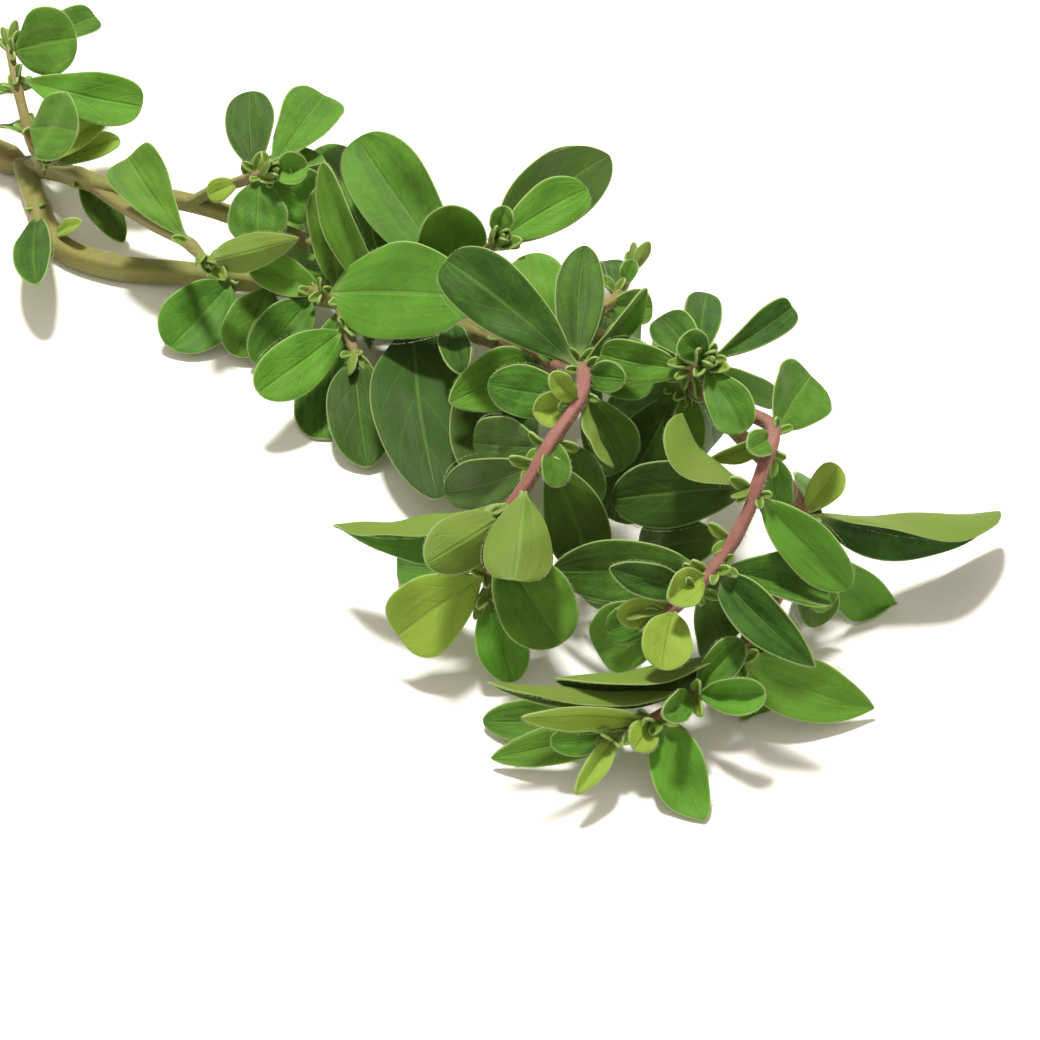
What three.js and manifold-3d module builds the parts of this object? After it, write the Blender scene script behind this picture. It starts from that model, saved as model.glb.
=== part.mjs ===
// A cut sprig of marjoram, lying on a table.
//
// One bare cut stem forks into two long leafy branches, and smaller shoots
// leave those branches. Leaves are blades with a short stalk, folded along
// the midrib and curled towards the tip. The stems are square in section,
// as on every plant of the mint family.
//
// Units are millimetres. +X runs to the right along the sprig, +Y runs
// away over the table, +Z is up. The origin is on the table, under the
// middle of the sprig.

import * as THREE from 'three';
import Module from 'manifold-3d';

const wasm = await Module();
wasm.setup();

// The picture that the sprig was measured on: a square seen from a long
// lens, looking down on the table. One pixel in its middle spans this much.
const PICTURE_PIXELS = 1040;
const PICTURE_MIDDLE = PICTURE_PIXELS / 2;
const PIXEL_ON_TABLE = 0.11;
const LENS = 85;
const SENSOR = 36;
const EYE_ELEVATION = THREE.MathUtils.degToRad(45);

// Driving dimensions.
const BLADE_THICKNESS = 0.6;
const STALK_WIDTH = 0.9;
const STALK_SHARE = 0.08;
const STALK_UNTIL = 0.9;
const CREASE_SHARE = 0.12;
const BASE_POWER = 1.1;
const BASE_POWER_LOSS = 0.7;
const SHOOT_GAP = 0.3;
const STEM_STEP = 4;
const CURVE_STEPS = 12;
const HALF_TANGENT = 0.5;

// The table lifts a leaf that would sink into it, over a soft length.
const TABLE_LEVEL = BLADE_THICKNESS / 2;
const TABLE_SOFTNESS = 1;

// How far apart leaves are kept. A crowded leaf has its tip lowered or lifted
// in the line of sight, and swings only where that isn't enough.
const LEAF_CLEARANCE = 1.4;
const SISTER_ALLOWANCE = 0.5;
const SEARCH_REACH = 4;
const NO_NEIGHBOUR = 9;
const OWN_STEM_REACH = 5;
const STEM_SAMPLE_STEP = 1;
const SAMPLE_SPACING = 1.6;
const SAMPLE_START = 0.35;
const DEEPEST_LIFT = -12;
const HIGHEST_LIFT = 6;
const LIFT_WEIGHT = 2.5;
const LOWEST_TIP = 0.5;
const SWING_STEP = 6;
const SWING_LIMIT = 5;
const SWING_RISE_WEIGHT = 0.7;

// The smaller leaves that fill the hidden side of the sprig.
const JOINT_SPACING = 6;
const LEAVES_AT_A_JOINT = 4;
const HIDDEN_SEED = 7;
const HIDDEN_TRIES = 30;
const HIDDEN_LENGTH = 9;
const HIDDEN_LENGTH_SPREAD = 7;
const HIDDEN_TAPER = 0.45;
const HIDDEN_WIDTH_SHARE = 0.52;
const HIDDEN_ROLL_SPREAD = 40;
const QUARTER_TURN = 360 / LEAVES_AT_A_JOINT;
const HIDDEN_TURN_SPREAD = 30;
const HIDDEN_FOLD = 18;
const HIDDEN_CURL = 22;
const HIDDEN_LEAN = 0.5;
const HIDDEN_SPREAD = 0.87;
const OPEN_SIDE = new THREE.Vector3(0, -0.7, 0.7);
const OPEN_SIDE_LIMIT = 0.1;
const ROUND_TIP = 0.5;

// Places across and along a blade where it has vertices. The last place
// along is where the rounded tip begins.
const ACROSS = [-1, 0, 1];
const ALONG_LARGE = [0, 0.14, 0.4, 0.7, 0.93];
const ALONG_SMALL = [0, 0.2, 0.6, 0.92];
const LARGE_LEAF = 11;
const SLOPE_STEP = 0.02;
const LEAST_FOLD_COSINE = 0.6;

const LEAF_GREEN = 0x4c7a2a;
const STEM_GREEN = 0x8d8a55;

const UP = new THREE.Vector3(0, 0, 1);

// Each shoot has its half thickness at its start and its end, the stretch
// whose hidden side is filled, the points that its stem passes through, and
// its leaves. A point is a pixel of the picture and a height over the table.
// A leaf is: rootX, rootY, tipX, tipY (the pixels where its root and its tip
// show), the height of its tip, its width, how fully it faces the eye, a
// further turn, its fold and its curl in degrees, and how pointed its tip is.
const LEAF_COLUMNS = [
  'rootX', 'rootY', 'tipX', 'tipY', 'tipHeight', 'width', 'facing', 'turn', 'fold', 'curl', 'point',
];
const SHOOTS = {
  cut_stem: {
    half: [1.7, 1.7],
    fill: null,
    points: [
      [-147, 93, 1.7], [-93, 115, 1.7], [-34, 141, 1.7], [25, 166, 1.7],
    ],
    leaves: [],
  },
  lower_branch: {
    half: [1.6, 0.5],
    fill: [58, 100],
    points: [
      [25, 166, 1.7], [36, 202, 1.6], [58, 244, 1.5], [110, 266, 1.5], [190, 274, 2],
      [265, 282, 4], [336, 297, 6], [430, 318, 6.5], [510, 345, 9], [560, 368, 14],
      [583, 372, 19], [578, 402, 21], [553, 440, 19.5], [530, 479, 17], [506, 517, 14],
      [491, 562, 10.5], [487, 600, 7],
    ],
    leaves: [
      [320, 302, 480, 299, 14, 11.3, 0.9, 0, 8, 15, 0.65],
      [416, 314, 438, 500, 4, 10.8, 1, 0, 14, 25, 0.6],
      [584, 374, 446, 260, 25, 7.6, 1, 0, 12, 15, 0.4],
      [514, 503, 333, 526, 9, 10.5, 1, 60, 57, 10, 0.8],
      [508, 512, 426, 564, 15, 6.5, 1, 180, 25, -15, 0.6],
      [528, 490, 514, 580, 15, 7.6, 1, 180, 22, -20, 0.4],
      [345, 302, 320, 448, 0.5, 8, 0.9, 0, 15, 15, 0.5],
      [578, 398, 488, 384, 20, 5.6, 1, 0, 12, 20, 0.6],
      [548, 445, 474, 443, 13, 6.6, 1, 0, 12, 15, 0.6],
      [575, 404, 533, 412, 21, 4.6, 1, 0, 35, -20, 0.5],
      [577, 402, 550, 374, 25, 2.8, 0.8, 0, 20, 30, 0.5],
      [580, 394, 613, 467, 17, 3.6, 1, 100, 35, 15, 0.5],
      [556, 438, 557, 488, 17, 3.2, 0.9, 0, 15, 20, 0.5],
      [493, 572, 398, 636, 5, 8.4, 1, 0, 18, 20, 0.35],
      [486, 592, 513, 684, 1, 6, 0.9, 0, 25, 15, 0.6],
      [578, 350, 585, 246, 22, 5.5, 1, 0, 10, 15, 0.6],
      [583, 368, 647, 288, 23, 4.2, 0, 80, 25, 12, 0.7],
      [388, 300, 323, 162, 20, 5.6, 0.9, 25, 40, 15, 0.6],
      [330, 292, 250, 262, 8, 5, 0.8, 0, 20, 15, 0.5],
      [232, 280, 170, 350, 1, 9, 0.9, 0, 20, 20, 0.5],
      [545, 352, 449, 403, 13, 7, 0.9, 0, 20, 20, 0.7],
      [582, 390, 622, 470, 13, 6.5, 0.8, 0, 20, 15, 0.5],
      [556, 440, 643, 490, 9, 7.5, 0.9, 0, 20, 15, 0.7],
      [545, 455, 571, 560, 5, 7, 0.9, 0, 15, 15, 0.5],
      [495, 560, 398, 566, 4, 6, 0.8, 0, 30, 15, 0.5],
      [500, 545, 562, 644, 4, 8.4, 0.9, 0, 15, 15, 0.5],
      [495, 560, 530, 612, 5, 5, 0.8, 0, 15, 20, 0.5],
      [440, 325, 436, 402, 7, 5, 0.8, 0, 25, 20, 0.5],
      [450, 328, 462, 374, 13, 4, 0.8, 0, 25, 20, 0.5],
      [540, 462, 446, 492, 3, 6, 0.9, 0, 20, 15, 0.6],
      [500, 342, 494, 492, 1, 10.5, 0.8, 0, 20, 20, 0.5],
      [560, 357, 530, 254, 20, 7.5, 0.9, 0, 12, 15, 0.5],
      [583, 372, 656, 372, 17, 6.5, 0.9, 0, 20, 20, 0.5],
      [583, 376, 626, 380, 22, 3.6, 0.9, 0, 20, 20, 0.5],
      [335, 292, 322, 186, 13, 5.5, 0.6, 0, 20, 20, 0.5],
      [330, 291, 296, 216, 12, 6, 0.8, 0, 20, 20, 0.5],
      [270, 283, 236, 358, 1, 7, 0.8, 0, 20, 20, 0.5],
      [318, 292, 258, 368, 1, 7, 0.8, 0, 20, 20, 0.5],
      [40, 212, 37, 285, 1, 5, 0.8, 0, 20, 10, 0.5],
      [52, 236, 82, 223, 6, 2.2, 0.6, 0, 20, 20, 0.5],
    ],
  },
  upper_branch: {
    half: [1.15, 0.55],
    fill: [46, 112],
    points: [
      [25, 166, 1.7], [60, 172, 5], [110, 187, 8], [191, 203, 9], [240, 218, 9],
      [330, 250, 8.5], [438, 288, 9], [551, 320, 11], [630, 352, 14.5], [691, 388, 19],
      [745, 412, 22], [773, 430, 23], [762, 470, 22], [747, 515, 19], [721, 560, 16],
      [692, 592, 14], [655, 623, 12],
    ],
    leaves: [
      [775, 435, 810, 376, 22, 7.6, 1, 10, 20, 10, 0.45],
      [757, 488, 681, 414, 24, 9, 1, 92, 50, 55, 0.5],
      [757, 490, 612, 500, 11, 7.2, 1, 0, 15, 20, 0.6],
      [757, 494, 850, 588, 12, 5.9, 1, 0, 25, 25, 0.6],
      [712, 570, 551, 572, 13, 6.8, 1, 0, 18, 20, 0.7],
      [715, 570, 815, 667, 11, 5.6, 1, 0, 32, 20, 0.8],
      [715, 570, 831, 576, 11, 8, 0.8, -20, 45, 25, 0.5],
      [692, 592, 609, 568, 17, 4, 1, 0, 25, 20, 0.7],
      [708, 572, 668, 600, 16, 4.6, 1, 0, 35, -20, 0.5],
      [674, 607, 662, 670, 11, 5.5, 1, 0, 20, 20, 0.5],
      [676, 605, 617, 616, 14, 3.2, 1, 0, 15, 15, 0.5],
      [668, 612, 608, 632, 10, 4, 0.9, 0, 15, 15, 0.5],
      [468, 290, 357, 139, 18, 10.2, 0.9, 0, 25, 20, 0.5],
      [400, 278, 316, 150, 7, 8, 0.9, 0, 15, 15, 0.5],
      [462, 290, 450, 205, 21, 8, 1, 0, 12, 20, 0.5],
      [771, 438, 707, 461, 22, 2.8, 1, 30, 30, 10, 0.9],
      [771, 436, 748, 450, 24.5, 3.2, 0.8, 0, 20, 10, 0.5],
      [768, 446, 778, 516, 9, 4.5, 0.2, 50, 15, 10, 0.5],
      [735, 537, 640, 556, 10, 6.5, 0.8, 0, 15, 20, 0.5],
      [698, 590, 718, 648, 7, 6.5, 0.8, 0, 25, 20, 0.5],
      [680, 602, 598, 652, 4, 7.5, 0.8, 0, 20, 20, 0.5],
      [705, 575, 580, 590, 6, 6.5, 0.9, 0, 20, 15, 0.6],
      [680, 385, 612, 520, 5, 9, 0.9, 0, 20, 15, 0.5],
      [395, 268, 383, 214, 18, 3, 0.9, 0, 15, 20, 0.5],
      [80, 178, 124, 244, 2, 4.5, 0.4, 0, 20, 10, 0.7],
    ],
  },
  right_branch: {
    half: [0.8, 0.5],
    fill: [15, 38],
    points: [
      [705, 395, 18], [744, 440, 15], [784, 480, 13], [802, 520, 12], [795, 562, 11],
      [771, 605, 9], [736, 655, 7], [692, 695, 6], [651, 721, 5], [612, 737, 4.5],
    ],
    leaves: [
      [803, 516, 999, 513, 4, 12, 1, 62, 56, 8, 0.6],
      [742, 664, 874, 710, 1, 7, 1, 0, 20, 15, 0.8],
      [738, 652, 555, 680, 9, 7.8, 1, 60, 50, 12, 0.7],
      [692, 694, 487, 683, 7, 4.6, 1, 70, 60, 5, 0.7],
      [660, 716, 703, 836, -2, 6.4, 1, 0, 30, 15, 0.8],
      [690, 696, 766, 694, 9, 5, 1, 0, 40, 10, 0.4],
      [796, 548, 889, 627, -3, 5.6, 1, 0, 15, 15, 0.5],
      [655, 717, 483, 724, 0.5, 5, 0.9, 0, 15, 10, 0.5],
      [640, 725, 491, 760, 1, 4.4, 0.9, 0, 20, 10, 0.7],
      [640, 722, 600, 712, 6, 2.2, 0.9, 0, 20, 10, 0.4],
      [650, 720, 521, 718, 8, 3.6, 1, 30, 30, -12, 0.7],
      [618, 735, 550, 742, 7, 3.2, 1, 0, 15, 10, 0.5],
      [614, 737, 575, 795, 0.5, 2.8, 1, 0, 30, 10, 0.7],
      [690, 696, 662, 716, 9, 3.6, 1, 0, 30, 20, 0.5],
      [655, 717, 634, 750, 5, 3.4, 1, 0, 15, 20, 0.5],
      [802, 515, 838, 466, 14, 3.8, 1, 0, 20, 15, 0.5],
      [802, 515, 806, 478, 15, 4, 1, 0, 20, 15, 0.5],
      [792, 570, 832, 606, 9, 4, 0.9, 0, 25, 15, 0.5],
      [690, 696, 742, 640, 10, 4, 0.8, 0, 25, 10, 0.5],
      [660, 714, 688, 760, 2, 2.8, 0.5, 0, 15, 20, 0.5],
    ],
  },
  crown_shoot: {
    half: [0.7, 0.5],
    fill: [4, 9],
    points: [
      [677, 379, 18.5], [690, 372, 22], [707, 362, 26],
    ],
    leaves: [
      [708, 364, 682, 336, 29, 3.8, 0.9, 0, 20, 20, 0.4],
      [706, 363, 792, 307, 27, 4, 0.9, 0, 25, 15, 0.3],
      [699, 367, 706, 294, 20, 4.4, 0.9, 0, 20, 15, 0.5],
      [704, 364, 746, 438, 19, 5, 0.9, 0, 20, 15, 0.4],
      [706, 363, 782, 404, 24, 3.2, 0.9, 0, 25, 15, 0.6],
      [700, 366, 660, 318, 21, 5, 0.9, 0, 20, 15, 0.5],
      [697, 368, 638, 338, 18, 3.5, 0.9, 0, 20, 20, 0.5],
      [692, 372, 624, 440, 14, 9, 0.9, 0, 15, 20, 0.5],
      [695, 370, 630, 372, 17, 5, 0.9, 0, 20, 20, 0.5],
      [692, 372, 712, 446, 13, 7, 0.8, 0, 15, 20, 0.5],
    ],
  },
  back_shoot: {
    half: [0.7, 0.5],
    fill: [9, 14],
    points: [
      [191, 203, 9.5], [214, 190, 12], [245, 180, 15], [270, 172, 18],
    ],
    leaves: [
      [256, 176, 250, 92, 20, 6, 1, 0, 12, 15, 0.5],
      [267, 174, 324, 96, 17, 7.2, 1, 0, 15, 15, 0.3],
      [260, 176, 258, 247, 12, 7.2, 1, 0, 12, 20, 0.5],
      [270, 172, 308, 166, 20, 5, 1, 0, 40, 15, 0.5],
      [262, 176, 318, 208, 11, 7, 0.9, 0, 15, 20, 0.5],
      [240, 182, 208, 196, 11, 3, 0.8, 0, 15, 20, 0.5],
    ],
  },
  left_shoot: {
    half: [0.8, 0.5],
    fill: [6, 18],
    points: [
      [46, 171, 4], [32, 141, 9], [18, 90, 13], [8, 40, 16],
    ],
    leaves: [
      [12, 52, 95, 17, 13, 4.8, 0.8, 0, 20, 15, 0.3],
      [8, 55, 77, 38, 18, 9, 0.9, 0, 10, 25, 0.5],
      [18, 78, 142, 107, 15, 6.8, 0.9, 0, 20, 15, 0.3],
      [28, 130, 78, 132, 15, 9, 0.9, 0, 10, 15, 0.5],
      [42, 164, 108, 116, 14, 4, 0.9, 0, 30, 40, 0.5],
      [46, 168, 120, 140, 13, 3.8, 0.9, 0, 30, 30, 0.5],
    ],
  },
  cross_shoot: {
    half: [0.8, 0.6],
    fill: [12, 17],
    points: [
      [86, 180, 6.5], [118, 203, 8], [156, 226, 9.5], [188, 243, 11], [206, 262, 12],
    ],
    leaves: [
      [195, 241, 128, 158, 15, 7.4, 0.9, 0, 20, 10, 0.2],
      [205, 262, 299, 238, 12, 5, 1, 180, 30, 12, 0.9],
    ],
  },
  under_shoot: {
    half: [0.7, 0.5],
    fill: null,
    points: [
      [336, 293, 6.5], [347, 330, 6], [358, 362, 5],
    ],
    leaves: [
      [345, 326, 258, 393, 7, 6.7, 1, 0, 12, 20, 0.45],
      [357, 352, 368, 470, 0.5, 8, 0.9, 0, 18, 15, 0.6],
    ],
  },
  ridge_shoot: {
    half: [0.7, 0.5],
    fill: [5, 11],
    points: [
      [480, 300, 10], [480, 275, 15], [486, 252, 18], [500, 240, 21],
    ],
    leaves: [
      [470, 240, 609, 156, 15, 8.8, 1, 0, 15, 15, 0.65],
      [500, 250, 587, 189, 22, 6, 1, 0, 15, 15, 0.5],
      [498, 242, 506, 206, 24, 3, 0.5, 0, 25, 5, 0.5],
    ],
  },
  far_shoot: {
    half: [0.6, 0.4],
    fill: [6, 11],
    points: [
      [555, 322, 11], [601, 308, 14], [622, 290, 14], [635, 261, 15],
    ],
    leaves: [
      [622, 288, 633, 260, 16, 2.2, 0.8, 0, 20, 10, 0.5],
      [605, 303, 652, 308, 12, 4.5, 0.8, 0, 20, 10, 0.5],
      [595, 308, 640, 330, 9, 6, 0.8, 0, 20, 10, 0.5],
      [595, 308, 595, 350, -3, 6, 0.8, 0, 20, 10, 0.5],
      [615, 295, 606, 262, 14, 4, 0.8, 0, 20, 10, 0.5],
    ],
  },
};

// The eye, and the directions of its picture.
const FOCUS = LENS / SENSOR * PICTURE_PIXELS;
const EYE_DISTANCE = PIXEL_ON_TABLE * FOCUS;
const AHEAD = new THREE.Vector3(0, Math.cos(EYE_ELEVATION), -Math.sin(EYE_ELEVATION));
const EYE = AHEAD.clone().multiplyScalar(-EYE_DISTANCE);
const PICTURE_RIGHT = new THREE.Vector3(1, 0, 0);
const PICTURE_UP = PICTURE_RIGHT.clone().cross(AHEAD);
const HEART = new THREE.Vector3(0, 15, 10);

// The point at a given height that shows at a pixel.
function spot(x, y, height) {
  const ray = AHEAD.clone().multiplyScalar(FOCUS);
  ray.addScaledVector(PICTURE_RIGHT, x - PICTURE_MIDDLE);
  ray.addScaledVector(PICTURE_UP, PICTURE_MIDDLE - y);
  return EYE.clone().addScaledVector(ray, (height - EYE.z) / ray.z);
}

// The pixel at which a point shows.
function pixelOf(point) {
  const offset = point.clone().sub(EYE);
  const scale = FOCUS / offset.dot(AHEAD);
  return [
    PICTURE_MIDDLE + offset.dot(PICTURE_RIGHT) * scale,
    PICTURE_MIDDLE - offset.dot(PICTURE_UP) * scale,
  ];
}

// A stem's line: points on a smooth curve, with the length run to each.
function stemLine(rows) {
  const knots = rows.map((row) => spot(...row));
  const curve = new THREE.CatmullRomCurve3(knots, false, 'catmullrom', 0.5);
  const points = curve.getPoints(CURVE_STEPS * (knots.length - 1));
  const runs = [0];
  for (let i = 1; i < points.length; i += 1) {
    runs.push(runs[i - 1] + points[i].distanceTo(points[i - 1]));
  }
  return { points, runs, length: runs[runs.length - 1] };
}

// The point at a length along a stem's line.
function pointAt(line, run) {
  if (run <= 0) {
    return line.points[0].clone();
  }
  if (run >= line.length) {
    return line.points[line.points.length - 1].clone();
  }
  const next = line.runs.findIndex((value) => value > run);
  const share = (run - line.runs[next - 1]) / (line.runs[next] - line.runs[next - 1]);
  return line.points[next - 1].clone().lerp(line.points[next], share);
}

// The direction of a stem's line at a length along it.
function directionAt(line, run) {
  return pointAt(line, run + HALF_TANGENT).sub(pointAt(line, run - HALF_TANGENT)).normalize();
}

// The upward direction square to a direction, and that direction rolled.
function upright(along) {
  return UP.clone().addScaledVector(along, -along.z).normalize();
}

function rolled(along, up, roll) {
  const side = along.clone().cross(up);
  return up.clone().multiplyScalar(Math.cos(roll)).addScaledVector(side, Math.sin(roll));
}

function rollBetween(along, up, normal) {
  return Math.atan2(up.clone().cross(normal).dot(along), up.dot(normal));
}

// A leaf's place and shape from its row: it runs from its stem to where its
// tip shows, and its face turns to the eye.
function aimedLeaf(line, seen) {
  let root = null;
  let nearest = Infinity;
  for (const point of line.points) {
    const [x, y] = pixelOf(point);
    const distance = Math.hypot(x - seen.rootX, y - seen.rootY);
    if (distance < nearest) {
      nearest = distance;
      root = point;
    }
  }
  const span = spot(seen.tipX, seen.tipY, seen.tipHeight).sub(root);
  const chord = span.clone().normalize();
  const view = EYE.clone().sub(HEART).normalize();
  const towardsEye = view.addScaledVector(chord, -view.dot(chord)).normalize();
  const fullTurn = rollBetween(chord, upright(chord), towardsEye);
  const furtherTurn = THREE.MathUtils.degToRad(seen.turn) * (fullTurn >= 0 ? 1 : -1);
  const face = rolled(chord, upright(chord), seen.facing * fullTurn + furtherTurn);
  const curl = THREE.MathUtils.degToRad(seen.curl);
  const bend = curl / 2;
  const along = chord.clone().multiplyScalar(Math.cos(bend)).addScaledVector(face, Math.sin(bend));
  const normal = face.clone().multiplyScalar(Math.cos(bend)).addScaledVector(chord, -Math.sin(bend));
  return {
    root,
    heading: Math.atan2(along.y, along.x),
    rise: Math.asin(along.z),
    roll: rollBetween(along, upright(along), normal),
    length: span.length() * bend / Math.sin(bend),
    width: seen.width,
    fold: THREE.MathUtils.degToRad(seen.fold),
    curl,
    point: seen.point,
  };
}

// The leaf's own directions at its root: along, out of its face, and across.
function leafAxes(leaf) {
  const level = Math.cos(leaf.rise);
  const along = new THREE.Vector3(
    level * Math.cos(leaf.heading), level * Math.sin(leaf.heading), Math.sin(leaf.rise));
  const out = rolled(along, upright(along), leaf.roll);
  return { along, out, across: along.clone().cross(out) };
}

// Half the width at a share t of the length: a stalk, then a blade whose
// outline is a power of the way from its base times a power of the way left.
// A blunt leaf tapers to its base and a pointed one is full there.
function halfWidth(leaf, t) {
  const stalk = t < STALK_UNTIL ? STALK_WIDTH / 2 : 0;
  const way = Math.min(Math.max((t - STALK_SHARE) / (1 - STALK_SHARE), 0), 1);
  const base = BASE_POWER - BASE_POWER_LOSS * leaf.point;
  const widest = base / (base + leaf.point);
  const outline = (place) => place ** base * (1 - place) ** leaf.point;
  return Math.max(leaf.width / 2 * outline(way) / outline(widest), stalk);
}

// The leaf's middle surface at s across (-1 to 1) and t along (0 to 1). Its
// midrib is an arc, its halves rise from a rounded crease, and the table
// lifts it.
function leafPoint(leaf, axes, s, t, margin) {
  const { along, out, across } = axes;
  const turn = leaf.curl * t;
  const reach = leaf.length / leaf.curl;
  const x = s * (halfWidth(leaf, t) + margin);
  const crease = CREASE_SHARE * leaf.width;
  const lift = Math.sin(leaf.fold) * (Math.sqrt(x * x + crease * crease) - crease);
  const point = leaf.root.clone();
  point.addScaledVector(along, reach * Math.sin(turn) + lift * Math.sin(turn));
  point.addScaledVector(out, -reach * (1 - Math.cos(turn)) + lift * Math.cos(turn));
  point.addScaledVector(across, x * Math.cos(leaf.fold));
  const clear = point.z - TABLE_LEVEL;
  point.z = TABLE_LEVEL + (clear + Math.sqrt(clear * clear + TABLE_SOFTNESS * TABLE_SOFTNESS)) / 2;
  return point;
}

// Points spread over a leaf, by which its distance to others is measured.
function leafSamples(leaf) {
  const axes = leafAxes(leaf);
  const rows = Math.ceil(leaf.length / SAMPLE_SPACING);
  const columns = Math.ceil(leaf.width / SAMPLE_SPACING);
  const points = [];
  for (let i = 0; i <= rows; i += 1) {
    const t = SAMPLE_START + (1 - SAMPLE_START) * i / rows;
    for (let j = 0; j <= columns; j += 1) {
      points.push(leafPoint(leaf, axes, 2 * j / columns - 1, t, 0));
    }
  }
  return points;
}

// What is placed already: points, each with a radius and its shoot.
const placed = [];

// The room between a leaf and everything placed before it.
function roomAround(points, root, shoot) {
  const box = new THREE.Box3().setFromPoints(points).expandByScalar(SEARCH_REACH);
  let room = NO_NEIGHBOUR;
  for (const other of placed) {
    if (!box.containsPoint(other.point)) {
      continue;
    }
    if (other.isStem && other.point.distanceTo(root) < OWN_STEM_REACH) {
      continue;
    }
    const allowance = !other.isStem && other.shoot === shoot ? SISTER_ALLOWANCE : 0;
    for (const point of points) {
      room = Math.min(room, point.distanceTo(other.point) - other.radius + allowance);
    }
  }
  return room;
}

// Lifts of a tip, the smallest first. A lift upwards counts as more.
const LIFTS = [];
for (let lift = DEEPEST_LIFT; lift <= HIGHEST_LIFT; lift += 1) {
  LIFTS.push(lift);
}
const liftSize = (lift) => (lift < 0 ? -lift : LIFT_WEIGHT * lift);
LIFTS.sort((a, b) => liftSize(a) - liftSize(b) || a - b);

// Swings in heading and rise, the smallest first.
const SWINGS = [];
for (let heading = -SWING_LIMIT; heading <= SWING_LIMIT; heading += 1) {
  for (let rise = -SWING_LIMIT; rise <= SWING_LIMIT; rise += 1) {
    SWINGS.push({ heading: heading * SWING_STEP, rise: rise * SWING_STEP });
  }
}
const swingSize = (swing) => swing.heading ** 2 + SWING_RISE_WEIGHT * swing.rise ** 2;
SWINGS.sort((a, b) => swingSize(a) - swingSize(b) || a.heading - b.heading || a.rise - b.rise);

function swung(leaf, heading, rise) {
  return {
    ...leaf,
    heading: leaf.heading + THREE.MathUtils.degToRad(heading),
    rise: leaf.rise + THREE.MathUtils.degToRad(rise),
  };
}

function keep(leaf, points, shoot) {
  for (const point of points) {
    placed.push({ point, shoot, radius: 0, isStem: false });
  }
  leavesOf[shoot].push(leaf);
}

// A leaf takes the smallest lift of its tip that clears what is there
// already, where its tip keeps its place in the picture. Else it takes the
// smallest swing that does, or the swing with the most room.
function placeLeaf(row, line, shoot) {
  const seen = Object.fromEntries(LEAF_COLUMNS.map((column, i) => [column, row[i]]));
  const lowestTip = Math.min(LOWEST_TIP, seen.tipHeight);
  for (const lift of LIFTS) {
    const tipHeight = seen.tipHeight + lift;
    const lifted = aimedLeaf(line, { ...seen, tipHeight });
    const points = leafSamples(lifted);
    if (tipHeight >= lowestTip && roomAround(points, lifted.root, shoot) > LEAF_CLEARANCE) {
      keep(lifted, points, shoot);
      return;
    }
  }
  const leaf = aimedLeaf(line, seen);
  let best = { room: -Infinity };
  for (const swing of SWINGS) {
    const turnedLeaf = swung(leaf, swing.heading, swing.rise);
    const points = leafSamples(turnedLeaf);
    const room = roomAround(points, leaf.root, shoot);
    if (room > best.room) {
      best = { room, leaf: turnedLeaf, points };
    }
    if (room > LEAF_CLEARANCE) {
      break;
    }
  }
  keep(best.leaf, best.points, shoot);
}

// The hidden leaves use seeded draws from 0 to 1.
const DRAW_FACTOR = 1664525;
const DRAW_STEP = 1013904223;
const DRAW_RANGE = 2 ** 32;
let drawState = HIDDEN_SEED;
function draw() {
  drawState = (drawState * DRAW_FACTOR + DRAW_STEP) % DRAW_RANGE;
  return drawState / DRAW_RANGE;
}

// One hidden leaf at a joint, unless it would face the open side or finds
// no room.
function placeHiddenLeaf(line, run, joint, side, shoot) {
  const along = directionAt(line, run);
  const up = upright(along);
  const quarters = side + (joint % 2) / 2;
  const around = THREE.MathUtils.degToRad(QUARTER_TURN * quarters + HIDDEN_TURN_SPREAD * (draw() - 0.5));
  const direction = rolled(along, up, around).multiplyScalar(HIDDEN_SPREAD);
  direction.addScaledVector(along, HIDDEN_LEAN).normalize();
  const fullLength = HIDDEN_LENGTH + HIDDEN_LENGTH_SPREAD * draw();
  const length = fullLength * (1 - HIDDEN_TAPER * run / line.length);
  const roll = THREE.MathUtils.degToRad(HIDDEN_ROLL_SPREAD * (draw() - 0.5));
  if (direction.dot(OPEN_SIDE) > OPEN_SIDE_LIMIT) {
    return;
  }
  const leaf = {
    root: pointAt(line, run),
    heading: Math.atan2(direction.y, direction.x),
    rise: Math.asin(direction.z),
    roll,
    length,
    width: HIDDEN_WIDTH_SHARE * length,
    fold: THREE.MathUtils.degToRad(HIDDEN_FOLD),
    curl: THREE.MathUtils.degToRad(HIDDEN_CURL),
    point: ROUND_TIP,
  };
  for (const swing of SWINGS.slice(0, HIDDEN_TRIES)) {
    const turnedLeaf = swung(leaf, 2 * swing.heading, swing.rise);
    const points = leafSamples(turnedLeaf);
    if (roomAround(points, leaf.root, shoot) > LEAF_CLEARANCE) {
      keep(turnedLeaf, points, shoot);
      return;
    }
  }
}

// Grow the sprig: stems first, then the leaves that show, then the hidden.
const names = Object.keys(SHOOTS);
const lines = {};
const leavesOf = {};
for (const name of names) {
  const line = stemLine(SHOOTS[name].points);
  const [startHalf, endHalf] = SHOOTS[name].half;
  lines[name] = line;
  leavesOf[name] = [];
  for (let run = 0; run < line.length; run += STEM_SAMPLE_STEP) {
    const radius = startHalf + (endHalf - startHalf) * run / line.length;
    placed.push({ point: pointAt(line, run), shoot: name, radius, isStem: true });
  }
}
for (const name of names) {
  for (const row of SHOOTS[name].leaves) {
    placeLeaf(row, lines[name], name);
  }
}
for (const name of names) {
  const line = lines[name];
  const [fillStart, fillEnd] = SHOOTS[name].fill ?? [0, 0];
  const lastRun = Math.min(fillEnd, line.length - HALF_TANGENT);
  for (let run = fillStart, joint = 0; run < lastRun; run += JOINT_SPACING, joint += 1) {
    for (let side = 0; side < LEAVES_AT_A_JOINT; side += 1) {
      placeHiddenLeaf(line, run, joint, side, name);
    }
  }
}

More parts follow.
